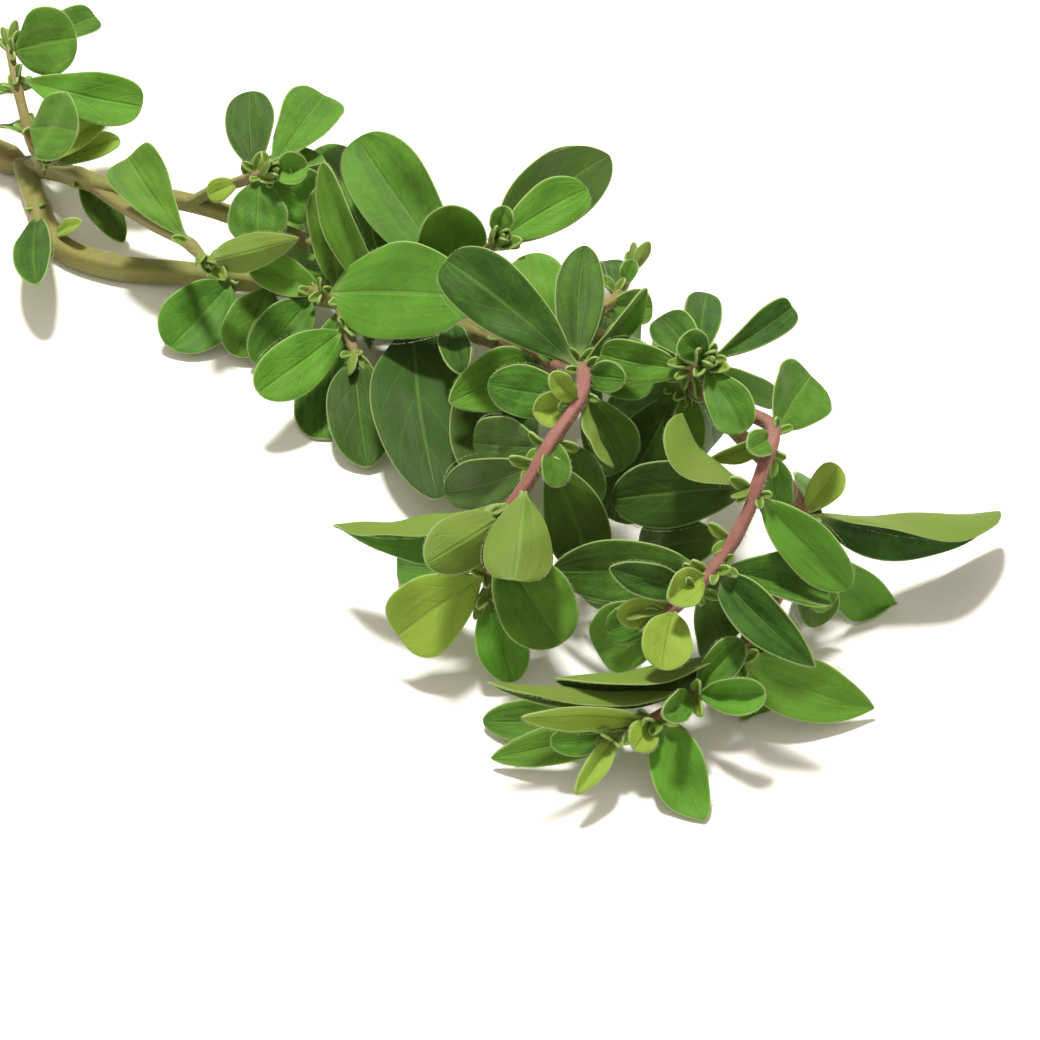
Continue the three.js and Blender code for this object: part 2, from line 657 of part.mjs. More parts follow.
// A closed solid from vertices and triangles.
function solid(vertices, triangles) {
  return new wasm.Manifold(new wasm.Mesh({
    numProp: 3,
    vertProperties: new Float32Array(vertices.flatMap((vertex) => vertex.toArray())),
    triVerts: new Uint32Array(triangles.flat()),
  }));
}

// A square stem along its line, made fatter by a margin all round.
function stemSolid(line, startHalf, endHalf, margin) {
  const stations = Math.ceil(line.length / STEM_STEP);
  const vertices = [];
  const triangles = [];
  let up = null;
  for (let i = 0; i <= stations; i += 1) {
    const run = line.length * i / stations;
    const along = directionAt(line, run);
    up = up ? up.addScaledVector(along, -up.dot(along)).normalize() : upright(along);
    const side = along.clone().cross(up);
    const half = startHalf + (endHalf - startHalf) * i / stations + margin;
    const endMargin = i === 0 ? -margin : i === stations ? margin : 0;
    const centre = pointAt(line, run).addScaledVector(along, endMargin);
    for (const [u, v] of [[-1, -1], [1, -1], [1, 1], [-1, 1]]) {
      vertices.push(centre.clone().addScaledVector(side, u * half).addScaledVector(up, v * half));
    }
  }
  for (let i = 0; i < stations; i += 1) {
    for (let k = 0; k < 4; k += 1) {
      const [a, b] = [4 * i + k, 4 * i + (k + 1) % 4];
      triangles.push([a, b + 4, b], [a, a + 4, b + 4]);
    }
  }
  const last = 4 * stations;
  triangles.push([0, 1, 2], [0, 2, 3], [last, last + 2, last + 1], [last, last + 3, last + 2]);
  return solid(vertices, triangles);
}

// The direction square to the blade at a place on it.
function bladeNormal(leaf, axes, s, t) {
  const place = Math.max(t, SLOPE_STEP);
  const left = leafPoint(leaf, axes, s > 0 ? 0 : -1, place, 0);
  const right = leafPoint(leaf, axes, s < 0 ? 0 : 1, place, 0);
  const across = right.sub(left);
  const before = leafPoint(leaf, axes, s, place - SLOPE_STEP, 0);
  const along = leafPoint(leaf, axes, s, place, 0).sub(before);
  return across.cross(along).normalize();
}

// A leaf as a closed plate of even thickness, made bigger by a margin. The
// middle column of its last row is the tip.
function leafSolid(leaf, margin) {
  const axes = leafAxes(leaf);
  const places = leaf.length < LARGE_LEAF ? ALONG_SMALL : ALONG_LARGE;
  const lastRow = places.length - 1;
  const columns = ACROSS.length;
  const top = [];
  const bottom = [];
  places.forEach((place, i) => {
    for (const s of ACROSS) {
      const t = i === lastRow && s === 0 ? 1 : place;
      const tipMargin = t === 1 ? margin / leaf.length : 0;
      const onMiddle = leafPoint(leaf, axes, s, t + tipMargin, margin);
      const thicken = s === 0 ? 1 / Math.max(Math.cos(leaf.fold), LEAST_FOLD_COSINE) : 1;
      const offset = (BLADE_THICKNESS / 2 + margin) * thicken;
      const normal = bladeNormal(leaf, axes, s, place).multiplyScalar(offset);
      for (const [face, sign] of [[top, 1], [bottom, -1]]) {
        const vertex = onMiddle.clone().addScaledVector(normal, sign);
        vertex.z = Math.max(vertex.z, -margin);
        face.push(vertex);
      }
    }
  });
  const below = top.length;
  const triangles = [];
  for (let i = 0; i < lastRow; i += 1) {
    for (let j = 0; j < columns - 1; j += 1) {
      const [a, b] = [i * columns + j, i * columns + j + 1];
      const [c, d] = [b + columns, a + columns];
      const split = j === 0 ? [[a, b, c], [a, c, d]] : [[a, b, d], [b, c, d]];
      for (const [p, q, r] of split) {
        triangles.push([p, q, r], [below + p, below + r, below + q]);
      }
    }
  }
  const rim = [];
  for (let j = 0; j < columns - 1; j += 1) {
    rim.push([j, j + 1]);
    rim.push([lastRow * columns + j + 1, lastRow * columns + j]);
  }
  for (let i = 0; i < lastRow; i += 1) {
    rim.push([(i + 1) * columns, i * columns]);
    rim.push([(i + 1) * columns - 1, (i + 2) * columns - 1]);
  }
  for (const [a, b] of rim) {
    triangles.push([b, a, below + a], [b, below + a, below + b]);
  }
  return solid([...top, ...bottom], triangles);
}

// A stem with its leaves grown together.
function shootSolid(name, margin) {
  const [startHalf, endHalf] = SHOOTS[name].half;
  let body = stemSolid(lines[name], startHalf, endHalf, margin);
  for (const leaf of leavesOf[name]) {
    body = body.add(leafSolid(leaf, margin));
  }
  return body;
}

function boxesMeet(a, b) {
  return a.min.every((low, k) => low <= b.max[k] && b.min[k] <= a.max[k]);
}

// Where a shoot would touch one listed before it, it is cut clear by the
// gap, and a scrap that this cuts off is dropped.
const solids = {};
const margins = {};
for (const name of names) {
  let body = shootSolid(name, 0);
  for (const [other, fatOther] of Object.entries(margins)) {
    if (boxesMeet(body.boundingBox(), fatOther.boundingBox())) {
      body = body.subtract(fatOther);
    }
  }
  const pieces = body.decompose().sort((a, b) => b.volume() - a.volume());
  solids[name] = pieces[0];
  margins[name] = shootSolid(name, SHOOT_GAP);
}

// The origin goes under the middle of the whole sprig's box.
const whole = new THREE.Box3();
for (const body of Object.values(solids)) {
  const box = body.boundingBox();
  whole.expandByPoint(new THREE.Vector3(...box.min));
  whole.expandByPoint(new THREE.Vector3(...box.max));
}
const middle = whole.getCenter(new THREE.Vector3());

const leafMaterial = new THREE.MeshStandardMaterial({ color: LEAF_GREEN, roughness: 0.75, metalness: 0 });
const stemMaterial = new THREE.MeshStandardMaterial({ color: STEM_GREEN, roughness: 0.7, metalness: 0 });

const sprig = new THREE.Group();
for (const name of names) {
  const { vertProperties, triVerts } = solids[name].getMesh();
  const geometry = new THREE.BufferGeometry();
  geometry.setAttribute('position', new THREE.BufferAttribute(vertProperties, 3));
  geometry.setIndex(new THREE.BufferAttribute(triVerts, 1));
  geometry.computeVertexNormals();
  const bare = leavesOf[name].length === 0;
  const mesh = new THREE.Mesh(geometry, (bare ? stemMaterial : leafMaterial).clone());
  mesh.name = name;
  mesh.position.set(-middle.x, -middle.y, 0);
  sprig.add(mesh);
}

export default sprig;
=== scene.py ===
# %% [markdown]
# # A cut sprig of fresh marjoram
#
# One bare cut stem forks into two long leafy branches, and smaller shoots leave
# those branches. Every shoot carries small oval leaves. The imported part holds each
# shoot as a plain solid. This lesson grows the same shoots again from the same
# picks and the same rule, but as thin soft blades with veins, a pale downy margin
# and a paler underside, on square stems with joints, a purple flush and hairs.
#
# Shapes are worked out in millimetres with numpy, and go into Blender in metres.

from collections import namedtuple

import bpy
import numpy as np
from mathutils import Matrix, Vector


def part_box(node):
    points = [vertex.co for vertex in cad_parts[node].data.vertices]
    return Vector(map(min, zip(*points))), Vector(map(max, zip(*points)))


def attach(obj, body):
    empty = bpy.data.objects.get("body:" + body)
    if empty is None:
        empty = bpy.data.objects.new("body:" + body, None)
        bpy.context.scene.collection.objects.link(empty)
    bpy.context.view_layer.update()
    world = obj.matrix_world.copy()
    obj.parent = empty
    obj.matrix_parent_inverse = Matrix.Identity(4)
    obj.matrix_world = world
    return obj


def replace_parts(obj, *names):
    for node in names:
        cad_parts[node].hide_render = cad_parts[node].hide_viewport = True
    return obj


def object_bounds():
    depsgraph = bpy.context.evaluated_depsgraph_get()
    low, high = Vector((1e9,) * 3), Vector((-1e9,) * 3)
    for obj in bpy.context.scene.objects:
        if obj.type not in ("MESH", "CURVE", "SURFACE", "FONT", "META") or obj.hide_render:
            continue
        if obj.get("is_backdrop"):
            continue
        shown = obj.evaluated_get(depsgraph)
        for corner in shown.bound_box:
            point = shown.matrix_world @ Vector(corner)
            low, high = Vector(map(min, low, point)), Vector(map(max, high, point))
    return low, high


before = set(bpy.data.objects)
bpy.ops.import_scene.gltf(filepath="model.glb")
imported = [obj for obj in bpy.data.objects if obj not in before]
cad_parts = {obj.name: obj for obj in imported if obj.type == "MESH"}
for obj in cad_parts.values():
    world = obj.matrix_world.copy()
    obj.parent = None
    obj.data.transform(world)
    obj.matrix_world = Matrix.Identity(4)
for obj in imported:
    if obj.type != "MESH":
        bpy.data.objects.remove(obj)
solid_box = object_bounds()
MM = 0.001  # metres in a millimetre
print("solids in the frame:", ", ".join(sorted(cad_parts)))

# %% [markdown]
# ## The picture that the sprig was measured on
#
# A square picture taken with a long lens looks down on the table at 45 degrees. A
# place in that picture and a height above the table give one spot in space: the
# spot where the line of sight through that place reaches that height. So a stem
# or a leaf needs only the places where it shows and a few heights, and it then
# stands in the right spot from every side. The camera of this scene is the same
# one, which is why the render lines up with the picks.

# %% The eye, and a spot from a place in the picture
PICTURE_PIXELS = 1040
PICTURE_MIDDLE = PICTURE_PIXELS / 2
PIXEL_ON_TABLE = 0.11
LENS = 85.0
SENSOR = 36.0
EYE_ELEVATION = np.radians(45)

FOCUS = PICTURE_PIXELS * LENS / SENSOR
EYE_DISTANCE = PIXEL_ON_TABLE * FOCUS
RIGHT = np.array([1.0, 0.0, 0.0])
AHEAD = np.array([0.0, np.cos(EYE_ELEVATION), -np.sin(EYE_ELEVATION)])
UPWARD = np.array([0.0, np.sin(EYE_ELEVATION), np.cos(EYE_ELEVATION)])
EYE = -EYE_DISTANCE * AHEAD


def spot(x, y, height):
    """The point at a height, in mm, that shows at pixel x, y: the eye plus the line
    of sight, scaled until it reaches that height."""
    sight = AHEAD * FOCUS + RIGHT * (x - PICTURE_MIDDLE) + UPWARD * (PICTURE_MIDDLE - y)
    return EYE + sight * (height - EYE[2]) / sight[2]


def pixel_of(points):
    """Where points show in the picture: their part across the line of sight over
    their part along it, times the focal length in pixels."""
    offset = points - EYE
    depth = offset @ AHEAD
    x = PICTURE_MIDDLE + FOCUS * (offset @ RIGHT) / depth
    y = PICTURE_MIDDLE - FOCUS * (offset @ UPWARD) / depth
    return np.stack([x, y], axis=-1)


print("eye is %.0f mm from the table point in the middle of the picture" % EYE_DISTANCE)

# %% [markdown]
# ## The picks
#
# Each shoot is a stem line and its leaves. Its first numbers are half the stem's
# width at its start and at its end, and the stretch of stem, if any, whose far side
# gets leaves by rule. A stem pick is a pixel and a height. A leaf pick says where
# its root and its tip show, how high the tip is, how wide the blade is, how far its
# face turns to the eye (1 is all the way, 0 is not at all), a further turn, its fold
# along the midrib, its curl towards the tip, and how pointed the tip is. A tip that
# is picked below the table presses on it. Sizes are millimetres and turns are
# degrees. Everything else is worked out from these, so there is one place to correct
# a leaf.

# %% Stem picks and leaf picks of every shoot
LeafPick = namedtuple("LeafPick", "root_x root_y tip_x tip_y tip_height width facing turn fold curl point")
Shoot = namedtuple("Shoot", "half_start half_end hidden_from hidden_to stem leaves")
SHOOTS = {
    "cut_stem": Shoot(
        1.7, 1.7, None, None,
        stem=[
            (-147, 93, 1.7), (-93, 115, 1.7), (-34, 141, 1.7), (25, 166, 1.7),
        ],
        leaves=[],
    ),
    "lower_branch": Shoot(
        1.6, 0.5, 58, 100,
        stem=[
            (25, 166, 1.7), (36, 202, 1.6), (58, 244, 1.5), (110, 266, 1.5), (190, 274, 2),
            (265, 282, 4), (336, 297, 6), (430, 318, 6.5), (510, 345, 9), (560, 368, 14),
            (583, 372, 19), (578, 402, 21), (553, 440, 19.5), (530, 479, 17), (506, 517, 14),
            (491, 562, 10.5), (487, 600, 7),
        ],
        leaves=[
            (320, 302, 480, 299, 14, 11.3, 0.9, 0, 8, 15, 0.65),
            (416, 314, 438, 500, 4, 10.8, 1, 0, 14, 25, 0.6),
            (584, 374, 446, 260, 25, 7.6, 1, 0, 12, 15, 0.4),
            (514, 503, 333, 526, 9, 10.5, 1, 60, 57, 10, 0.8),
            (508, 512, 426, 564, 15, 6.5, 1, 180, 25, -15, 0.6),
            (528, 490, 514, 580, 15, 7.6, 1, 180, 22, -20, 0.4),
            (345, 302, 320, 448, 0.5, 8, 0.9, 0, 15, 15, 0.5),
            (578, 398, 488, 384, 20, 5.6, 1, 0, 12, 20, 0.6),
            (548, 445, 474, 443, 13, 6.6, 1, 0, 12, 15, 0.6),
            (575, 404, 533, 412, 21, 4.6, 1, 0, 35, -20, 0.5),
            (577, 402, 550, 374, 25, 2.8, 0.8, 0, 20, 30, 0.5),
            (580, 394, 613, 467, 17, 3.6, 1, 100, 35, 15, 0.5),
            (556, 438, 557, 488, 17, 3.2, 0.9, 0, 15, 20, 0.5),
            (493, 572, 398, 636, 5, 8.4, 1, 0, 18, 20, 0.35),
            (486, 592, 513, 684, 1, 6, 0.9, 0, 25, 15, 0.6),
            (578, 350, 585, 246, 22, 5.5, 1, 0, 10, 15, 0.6),
            (583, 368, 647, 288, 23, 4.2, 0, 80, 25, 12, 0.7),
            (388, 300, 323, 162, 20, 5.6, 0.9, 25, 40, 15, 0.6),
            (330, 292, 250, 262, 8, 5, 0.8, 0, 20, 15, 0.5),
            (232, 280, 170, 350, 1, 9, 0.9, 0, 20, 20, 0.5),
            (545, 352, 449, 403, 13, 7, 0.9, 0, 20, 20, 0.7),
            (582, 390, 622, 470, 13, 6.5, 0.8, 0, 20, 15, 0.5),
            (556, 440, 643, 490, 9, 7.5, 0.9, 0, 20, 15, 0.7),
            (545, 455, 571, 560, 5, 7, 0.9, 0, 15, 15, 0.5),
            (495, 560, 398, 566, 4, 6, 0.8, 0, 30, 15, 0.5),
            (500, 545, 562, 644, 4, 8.4, 0.9, 0, 15, 15, 0.5),
            (495, 560, 530, 612, 5, 5, 0.8, 0, 15, 20, 0.5),
            (440, 325, 436, 402, 7, 5, 0.8, 0, 25, 20, 0.5),
            (450, 328, 462, 374, 13, 4, 0.8, 0, 25, 20, 0.5),
            (540, 462, 446, 492, 3, 6, 0.9, 0, 20, 15, 0.6),
            (500, 342, 494, 492, 1, 10.5, 0.8, 0, 20, 20, 0.5),
            (560, 357, 530, 254, 20, 7.5, 0.9, 0, 12, 15, 0.5),
            (583, 372, 656, 372, 17, 6.5, 0.9, 0, 20, 20, 0.5),
            (583, 376, 626, 380, 22, 3.6, 0.9, 0, 20, 20, 0.5),
            (335, 292, 322, 186, 13, 5.5, 0.6, 0, 20, 20, 0.5),
            (330, 291, 296, 216, 12, 6, 0.8, 0, 20, 20, 0.5),
            (270, 283, 236, 358, 1, 7, 0.8, 0, 20, 20, 0.5),
            (318, 292, 258, 368, 1, 7, 0.8, 0, 20, 20, 0.5),
            (40, 212, 37, 285, 1, 5, 0.8, 0, 20, 10, 0.5),
            (52, 236, 82, 223, 6, 2.2, 0.6, 0, 20, 20, 0.5),
        ],
    ),
    "upper_branch": Shoot(
        1.15, 0.55, 46, 112,
        stem=[
            (25, 166, 1.7), (60, 172, 5), (110, 187, 8), (191, 203, 9), (240, 218, 9),
            (330, 250, 8.5), (438, 288, 9), (551, 320, 11), (630, 352, 14.5), (691, 388, 19),
            (745, 412, 22), (773, 430, 23), (762, 470, 22), (747, 515, 19), (721, 560, 16),
            (692, 592, 14), (655, 623, 12),
        ],
        leaves=[
            (775, 435, 810, 376, 22, 7.6, 1, 10, 20, 10, 0.45),
            (757, 488, 681, 414, 24, 9, 1, 92, 50, 55, 0.5),
            (757, 490, 612, 500, 11, 7.2, 1, 0, 15, 20, 0.6),
            (757, 494, 850, 588, 12, 5.9, 1, 0, 25, 25, 0.6),
            (712, 570, 551, 572, 13, 6.8, 1, 0, 18, 20, 0.7),
            (715, 570, 815, 667, 11, 5.6, 1, 0, 32, 20, 0.8),
            (715, 570, 831, 576, 11, 8, 0.8, -20, 45, 25, 0.5),
            (692, 592, 609, 568, 17, 4, 1, 0, 25, 20, 0.7),
            (708, 572, 668, 600, 16, 4.6, 1, 0, 35, -20, 0.5),
            (674, 607, 662, 670, 11, 5.5, 1, 0, 20, 20, 0.5),
            (676, 605, 617, 616, 14, 3.2, 1, 0, 15, 15, 0.5),
            (668, 612, 608, 632, 10, 4, 0.9, 0, 15, 15, 0.5),
            (468, 290, 357, 139, 18, 10.2, 0.9, 0, 25, 20, 0.5),
            (400, 278, 316, 150, 7, 8, 0.9, 0, 15, 15, 0.5),
            (462, 290, 450, 205, 21, 8, 1, 0, 12, 20, 0.5),
            (771, 438, 707, 461, 22, 2.8, 1, 30, 30, 10, 0.9),
            (771, 436, 748, 450, 24.5, 3.2, 0.8, 0, 20, 10, 0.5),
            (768, 446, 778, 516, 9, 4.5, 0.2, 50, 15, 10, 0.5),
            (735, 537, 640, 556, 10, 6.5, 0.8, 0, 15, 20, 0.5),
            (698, 590, 718, 648, 7, 6.5, 0.8, 0, 25, 20, 0.5),
            (680, 602, 598, 652, 4, 7.5, 0.8, 0, 20, 20, 0.5),
            (705, 575, 580, 590, 6, 6.5, 0.9, 0, 20, 15, 0.6),
            (680, 385, 612, 520, 5, 9, 0.9, 0, 20, 15, 0.5),
            (395, 268, 383, 214, 18, 3, 0.9, 0, 15, 20, 0.5),
            (80, 178, 124, 244, 2, 4.5, 0.4, 0, 20, 10, 0.7),
        ],
    ),
    "right_branch": Shoot(
        0.8, 0.5, 15, 38,
        stem=[
            (705, 395, 18), (744, 440, 15), (784, 480, 13), (802, 520, 12), (795, 562, 11),
            (771, 605, 9), (736, 655, 7), (692, 695, 6), (651, 721, 5), (612, 737, 4.5),
        ],
        leaves=[
            (803, 516, 999, 513, 4, 12, 1, 62, 56, 8, 0.6),
            (742, 664, 874, 710, 1, 7, 1, 0, 20, 15, 0.8),
            (738, 652, 555, 680, 9, 7.8, 1, 60, 50, 12, 0.7),
            (692, 694, 487, 683, 7, 4.6, 1, 70, 60, 5, 0.7),
            (660, 716, 703, 836, -2, 6.4, 1, 0, 30, 15, 0.8),
            (690, 696, 766, 694, 9, 5, 1, 0, 40, 10, 0.4),
            (796, 548, 889, 627, -3, 5.6, 1, 0, 15, 15, 0.5),
            (655, 717, 483, 724, 0.5, 5, 0.9, 0, 15, 10, 0.5),
            (640, 725, 491, 760, 1, 4.4, 0.9, 0, 20, 10, 0.7),
            (640, 722, 600, 712, 6, 2.2, 0.9, 0, 20, 10, 0.4),
            (650, 720, 521, 718, 8, 3.6, 1, 30, 30, -12, 0.7),
            (618, 735, 550, 742, 7, 3.2, 1, 0, 15, 10, 0.5),
            (614, 737, 575, 795, 0.5, 2.8, 1, 0, 30, 10, 0.7),
            (690, 696, 662, 716, 9, 3.6, 1, 0, 30, 20, 0.5),
            (655, 717, 634, 750, 5, 3.4, 1, 0, 15, 20, 0.5),
            (802, 515, 838, 466, 14, 3.8, 1, 0, 20, 15, 0.5),
            (802, 515, 806, 478, 15, 4, 1, 0, 20, 15, 0.5),
            (792, 570, 832, 606, 9, 4, 0.9, 0, 25, 15, 0.5),
            (690, 696, 742, 640, 10, 4, 0.8, 0, 25, 10, 0.5),
            (660, 714, 688, 760, 2, 2.8, 0.5, 0, 15, 20, 0.5),
        ],
    ),
    "crown_shoot": Shoot(
        0.7, 0.5, 4, 9,
        stem=[
            (677, 379, 18.5), (690, 372, 22), (707, 362, 26),
        ],
        leaves=[
            (708, 364, 682, 336, 29, 3.8, 0.9, 0, 20, 20, 0.4),
            (706, 363, 792, 307, 27, 4, 0.9, 0, 25, 15, 0.3),
            (699, 367, 706, 294, 20, 4.4, 0.9, 0, 20, 15, 0.5),
            (704, 364, 746, 438, 19, 5, 0.9, 0, 20, 15, 0.4),
            (706, 363, 782, 404, 24, 3.2, 0.9, 0, 25, 15, 0.6),
            (700, 366, 660, 318, 21, 5, 0.9, 0, 20, 15, 0.5),
            (697, 368, 638, 338, 18, 3.5, 0.9, 0, 20, 20, 0.5),
            (692, 372, 624, 440, 14, 9, 0.9, 0, 15, 20, 0.5),
            (695, 370, 630, 372, 17, 5, 0.9, 0, 20, 20, 0.5),
            (692, 372, 712, 446, 13, 7, 0.8, 0, 15, 20, 0.5),
        ],
    ),
    "back_shoot": Shoot(
        0.7, 0.5, 9, 14,
        stem=[
            (191, 203, 9.5), (214, 190, 12), (245, 180, 15), (270, 172, 18),
        ],
        leaves=[
            (256, 176, 250, 92, 20, 6, 1, 0, 12, 15, 0.5),
            (267, 174, 324, 96, 17, 7.2, 1, 0, 15, 15, 0.3),
            (260, 176, 258, 247, 12, 7.2, 1, 0, 12, 20, 0.5),
            (270, 172, 308, 166, 20, 5, 1, 0, 40, 15, 0.5),
            (262, 176, 318, 208, 11, 7, 0.9, 0, 15, 20, 0.5),
            (240, 182, 208, 196, 11, 3, 0.8, 0, 15, 20, 0.5),
        ],
    ),
    "left_shoot": Shoot(
        0.8, 0.5, 6, 18,
        stem=[
            (46, 171, 4), (32, 141, 9), (18, 90, 13), (8, 40, 16),
        ],
        leaves=[
            (12, 52, 95, 17, 13, 4.8, 0.8, 0, 20, 15, 0.3),
            (8, 55, 77, 38, 18, 9, 0.9, 0, 10, 25, 0.5),
            (18, 78, 142, 107, 15, 6.8, 0.9, 0, 20, 15, 0.3),
            (28, 130, 78, 132, 15, 9, 0.9, 0, 10, 15, 0.5),
            (42, 164, 108, 116, 14, 4, 0.9, 0, 30, 40, 0.5),
            (46, 168, 120, 140, 13, 3.8, 0.9, 0, 30, 30, 0.5),
        ],
    ),
    "cross_shoot": Shoot(
        0.8, 0.6, 12, 17,
        stem=[
            (86, 180, 6.5), (118, 203, 8), (156, 226, 9.5), (188, 243, 11), (206, 262, 12),
        ],
        leaves=[
            (195, 241, 128, 158, 15, 7.4, 0.9, 0, 20, 10, 0.2),
            (205, 262, 299, 238, 12, 5, 1, 180, 30, 12, 0.9),
        ],
    ),
    "under_shoot": Shoot(
        0.7, 0.5, None, None,
        stem=[
            (336, 293, 6.5), (347, 330, 6), (358, 362, 5),
        ],
        leaves=[
            (345, 326, 258, 393, 7, 6.7, 1, 0, 12, 20, 0.45),
            (357, 352, 368, 470, 0.5, 8, 0.9, 0, 18, 15, 0.6),
        ],
    ),
    "ridge_shoot": Shoot(
        0.7, 0.5, 5, 11,
        stem=[
            (480, 300, 10), (480, 275, 15), (486, 252, 18), (500, 240, 21),
        ],
        leaves=[
            (470, 240, 609, 156, 15, 8.8, 1, 0, 15, 15, 0.65),
            (500, 250, 587, 189, 22, 6, 1, 0, 15, 15, 0.5),
            (498, 242, 506, 206, 24, 3, 0.5, 0, 25, 5, 0.5),
        ],
    ),
    "far_shoot": Shoot(
        0.6, 0.4, 6, 11,
        stem=[
            (555, 322, 11), (601, 308, 14), (622, 290, 14), (635, 261, 15),
        ],
        leaves=[
            (622, 288, 633, 260, 16, 2.2, 0.8, 0, 20, 10, 0.5),
            (605, 303, 652, 308, 12, 4.5, 0.8, 0, 20, 10, 0.5),
            (595, 308, 640, 330, 9, 6, 0.8, 0, 20, 10, 0.5),
            (595, 308, 595, 350, -3, 6, 0.8, 0, 20, 10, 0.5),
            (615, 295, 606, 262, 14, 4, 0.8, 0, 20, 10, 0.5),
        ],
    ),
}
print("%d shoots, %d leaf picks" % (len(SHOOTS), sum(len(shoot.leaves) for shoot in SHOOTS.values())))

# %% [markdown]
# ## Stem lines
#
# A stem bends softly through its picks. A Catmull-Rom curve does that: each stretch
# is a cubic whose direction at a pick is half the step between the picks on either
# side. It could be a Bezier curve drawn by hand, but then every handle would be one
# more number to keep right.

# %% A smooth line through the picks, and a place along it
CURVE_STEPS = 12


def unit(vectors):
    """Each vector over its own length."""
    vectors = np.asarray(vectors, float)
    return vectors / np.sqrt((vectors * vectors).sum(axis=-1, keepdims=True))


def stem_line(picks):
    """Points of a smooth line through the picks. On a stretch from b to c, with a before
    and d after, the point at share t is half of 2b + (c - a) t + (2a - 5b + 4c - d) t^2
    + (3b - a - 3c + d) t^3."""
    p = np.array([spot(*pick) for pick in picks])
    p = np.vstack([2 * p[0] - p[1], p, 2 * p[-1] - p[-2]])
    stretches = len(p) - 3
    a, b, c, d = (p[k:stretches + k, None] for k in range(4))
    t = (np.arange(CURVE_STEPS) / CURVE_STEPS)[None, :, None]
    curve = 2 * b + (c - a) * t + (2 * a - 5 * b + 4 * c - d) * t**2 + (3 * b - a - 3 * c + d) * t**3
    return np.vstack([curve.reshape(-1, 3) / 2, p[-2]])


def runs_of(line):
    """How far along the line each of its points is."""
    return np.concatenate([[0.0], np.cumsum(np.sqrt((np.diff(line, axis=0) ** 2).sum(axis=1)))])


def point_at(line, run):
    """The points at the given distances along a line."""
    runs = runs_of(line)
    return np.stack([np.interp(run, runs, line[:, k]) for k in range(3)], axis=-1)


def direction_at(line, run, reach=0.5):
    """The direction of the line at the given distances."""
    return unit(point_at(line, run + reach) - point_at(line, run - reach))


lines = {name: stem_line(shoot.stem) for name, shoot in SHOOTS.items()}
lengths = {name: runs_of(line)[-1] for name, line in lines.items()}
for name, length in lengths.items():
    print("%-13s stem %5.1f mm" % (name, length))

# %% [markdown]
# ## One leaf as a surface
#
# A leaf starts at its root with a direction and a face. Its midrib bends away from
# the face along an arc of a circle, its outline swells from a short stalk to full
# width and rounds off at the tip, and its two halves fold up along the midrib. Where
# it would sink into the table, the table lifts it softly. All of this is a function
# of two shares: s across, from -1 to 1, and t along, from root to tip.
#
# A grid of hand-placed vertices could give one leaf just as well, but a sprig needs
# well over a hundred, all different.

# %% From a pick to a leaf
STALK_SHARE = 0.08
STALK_WIDTH = 0.9
STALK_UNTIL = 0.9
BASE_POWER = 1.1
BASE_POWER_LOSS = 0.7
CREASE_SHARE = 0.12
TABLE_LEVEL = 0.3
TABLE_SOFTNESS = 1.0
SPRIG_HEART = np.array([0.0, 15.0, 10.0])
TOP = np.array([0.0, 0.0, 1.0])

Leaf = namedtuple("Leaf", "root heading rise length width roll fold curl point")


def upright(direction):
    """The upward direction square to the given ones."""
    direction = np.asarray(direction, float)
    return unit(TOP - direction[..., 2:3] * direction)


def rolled(direction, up, roll):
    """up, turned about the direction by an angle."""
    return up * np.cos(roll) + np.cross(direction, up) * np.sin(roll)


def roll_between(direction, up, face):
    """The angle about the direction that turns up into face."""
    return np.arctan2(np.cross(up, face) @ direction, up @ face)


def aimed_leaf(line, pick):
    """The leaf of a pick. Its chord runs from the point of the stem line that shows
    nearest to the root's place, to the tip's spot. Its face turns from straight up
    towards the eye. Its direction at the root is half the curl steeper than the chord."""
    away = pixel_of(line) - (pick.root_x, pick.root_y)
    root = line[np.argmin((away * away).sum(axis=1))]
    span = spot(pick.tip_x, pick.tip_y, pick.tip_height) - root
    reach = np.sqrt(span @ span)
    chord = span / reach
    up = upright(chord)
    sight = unit(EYE - SPRIG_HEART)
    to_eye = roll_between(chord, up, unit(sight - (sight @ chord) * chord))
    side = 1 if to_eye >= 0 else -1
    face = rolled(chord, up, pick.facing * to_eye + np.radians(pick.turn) * side)
    half_curl = np.radians(pick.curl) / 2
    direction = np.cos(half_curl) * chord + np.sin(half_curl) * face
    face = np.cos(half_curl) * face - np.sin(half_curl) * chord
    return Leaf(
        root=root,
        heading=np.arctan2(direction[1], direction[0]),
        rise=np.arcsin(direction[2]),
        length=reach * half_curl / np.sin(half_curl),
        width=pick.width,
        roll=roll_between(direction, upright(direction), face),
        fold=np.radians(pick.fold),
        curl=2 * half_curl,
        point=pick.point,
    )


def leaf_axes(leaf):
    """The leaf's direction at its root, its face, and the direction across it."""
    direction = np.array([
        np.cos(leaf.rise) * np.cos(leaf.heading),
        np.cos(leaf.rise) * np.sin(leaf.heading),
        np.sin(leaf.rise),
    ])
    face = rolled(direction, upright(direction), leaf.roll)
    return direction, face, np.cross(direction, face)


def half_width(leaf, t):
    """Half the blade's width: past the stalk, share^base times (1 - share)^point, over
    the most that this product reaches, times half the full width. The base power
    falls with the point's power: a blunt leaf tapers to its base, a pointed one is
    full there."""
    share = np.clip((t - STALK_SHARE) / (1 - STALK_SHARE), 0, 1)
    base = BASE_POWER - BASE_POWER_LOSS * leaf.point
    widest = base / (base + leaf.point)
    most = widest**base * (1 - widest) ** leaf.point
    return leaf.width / 2 * share**base * (1 - share) ** leaf.point / most


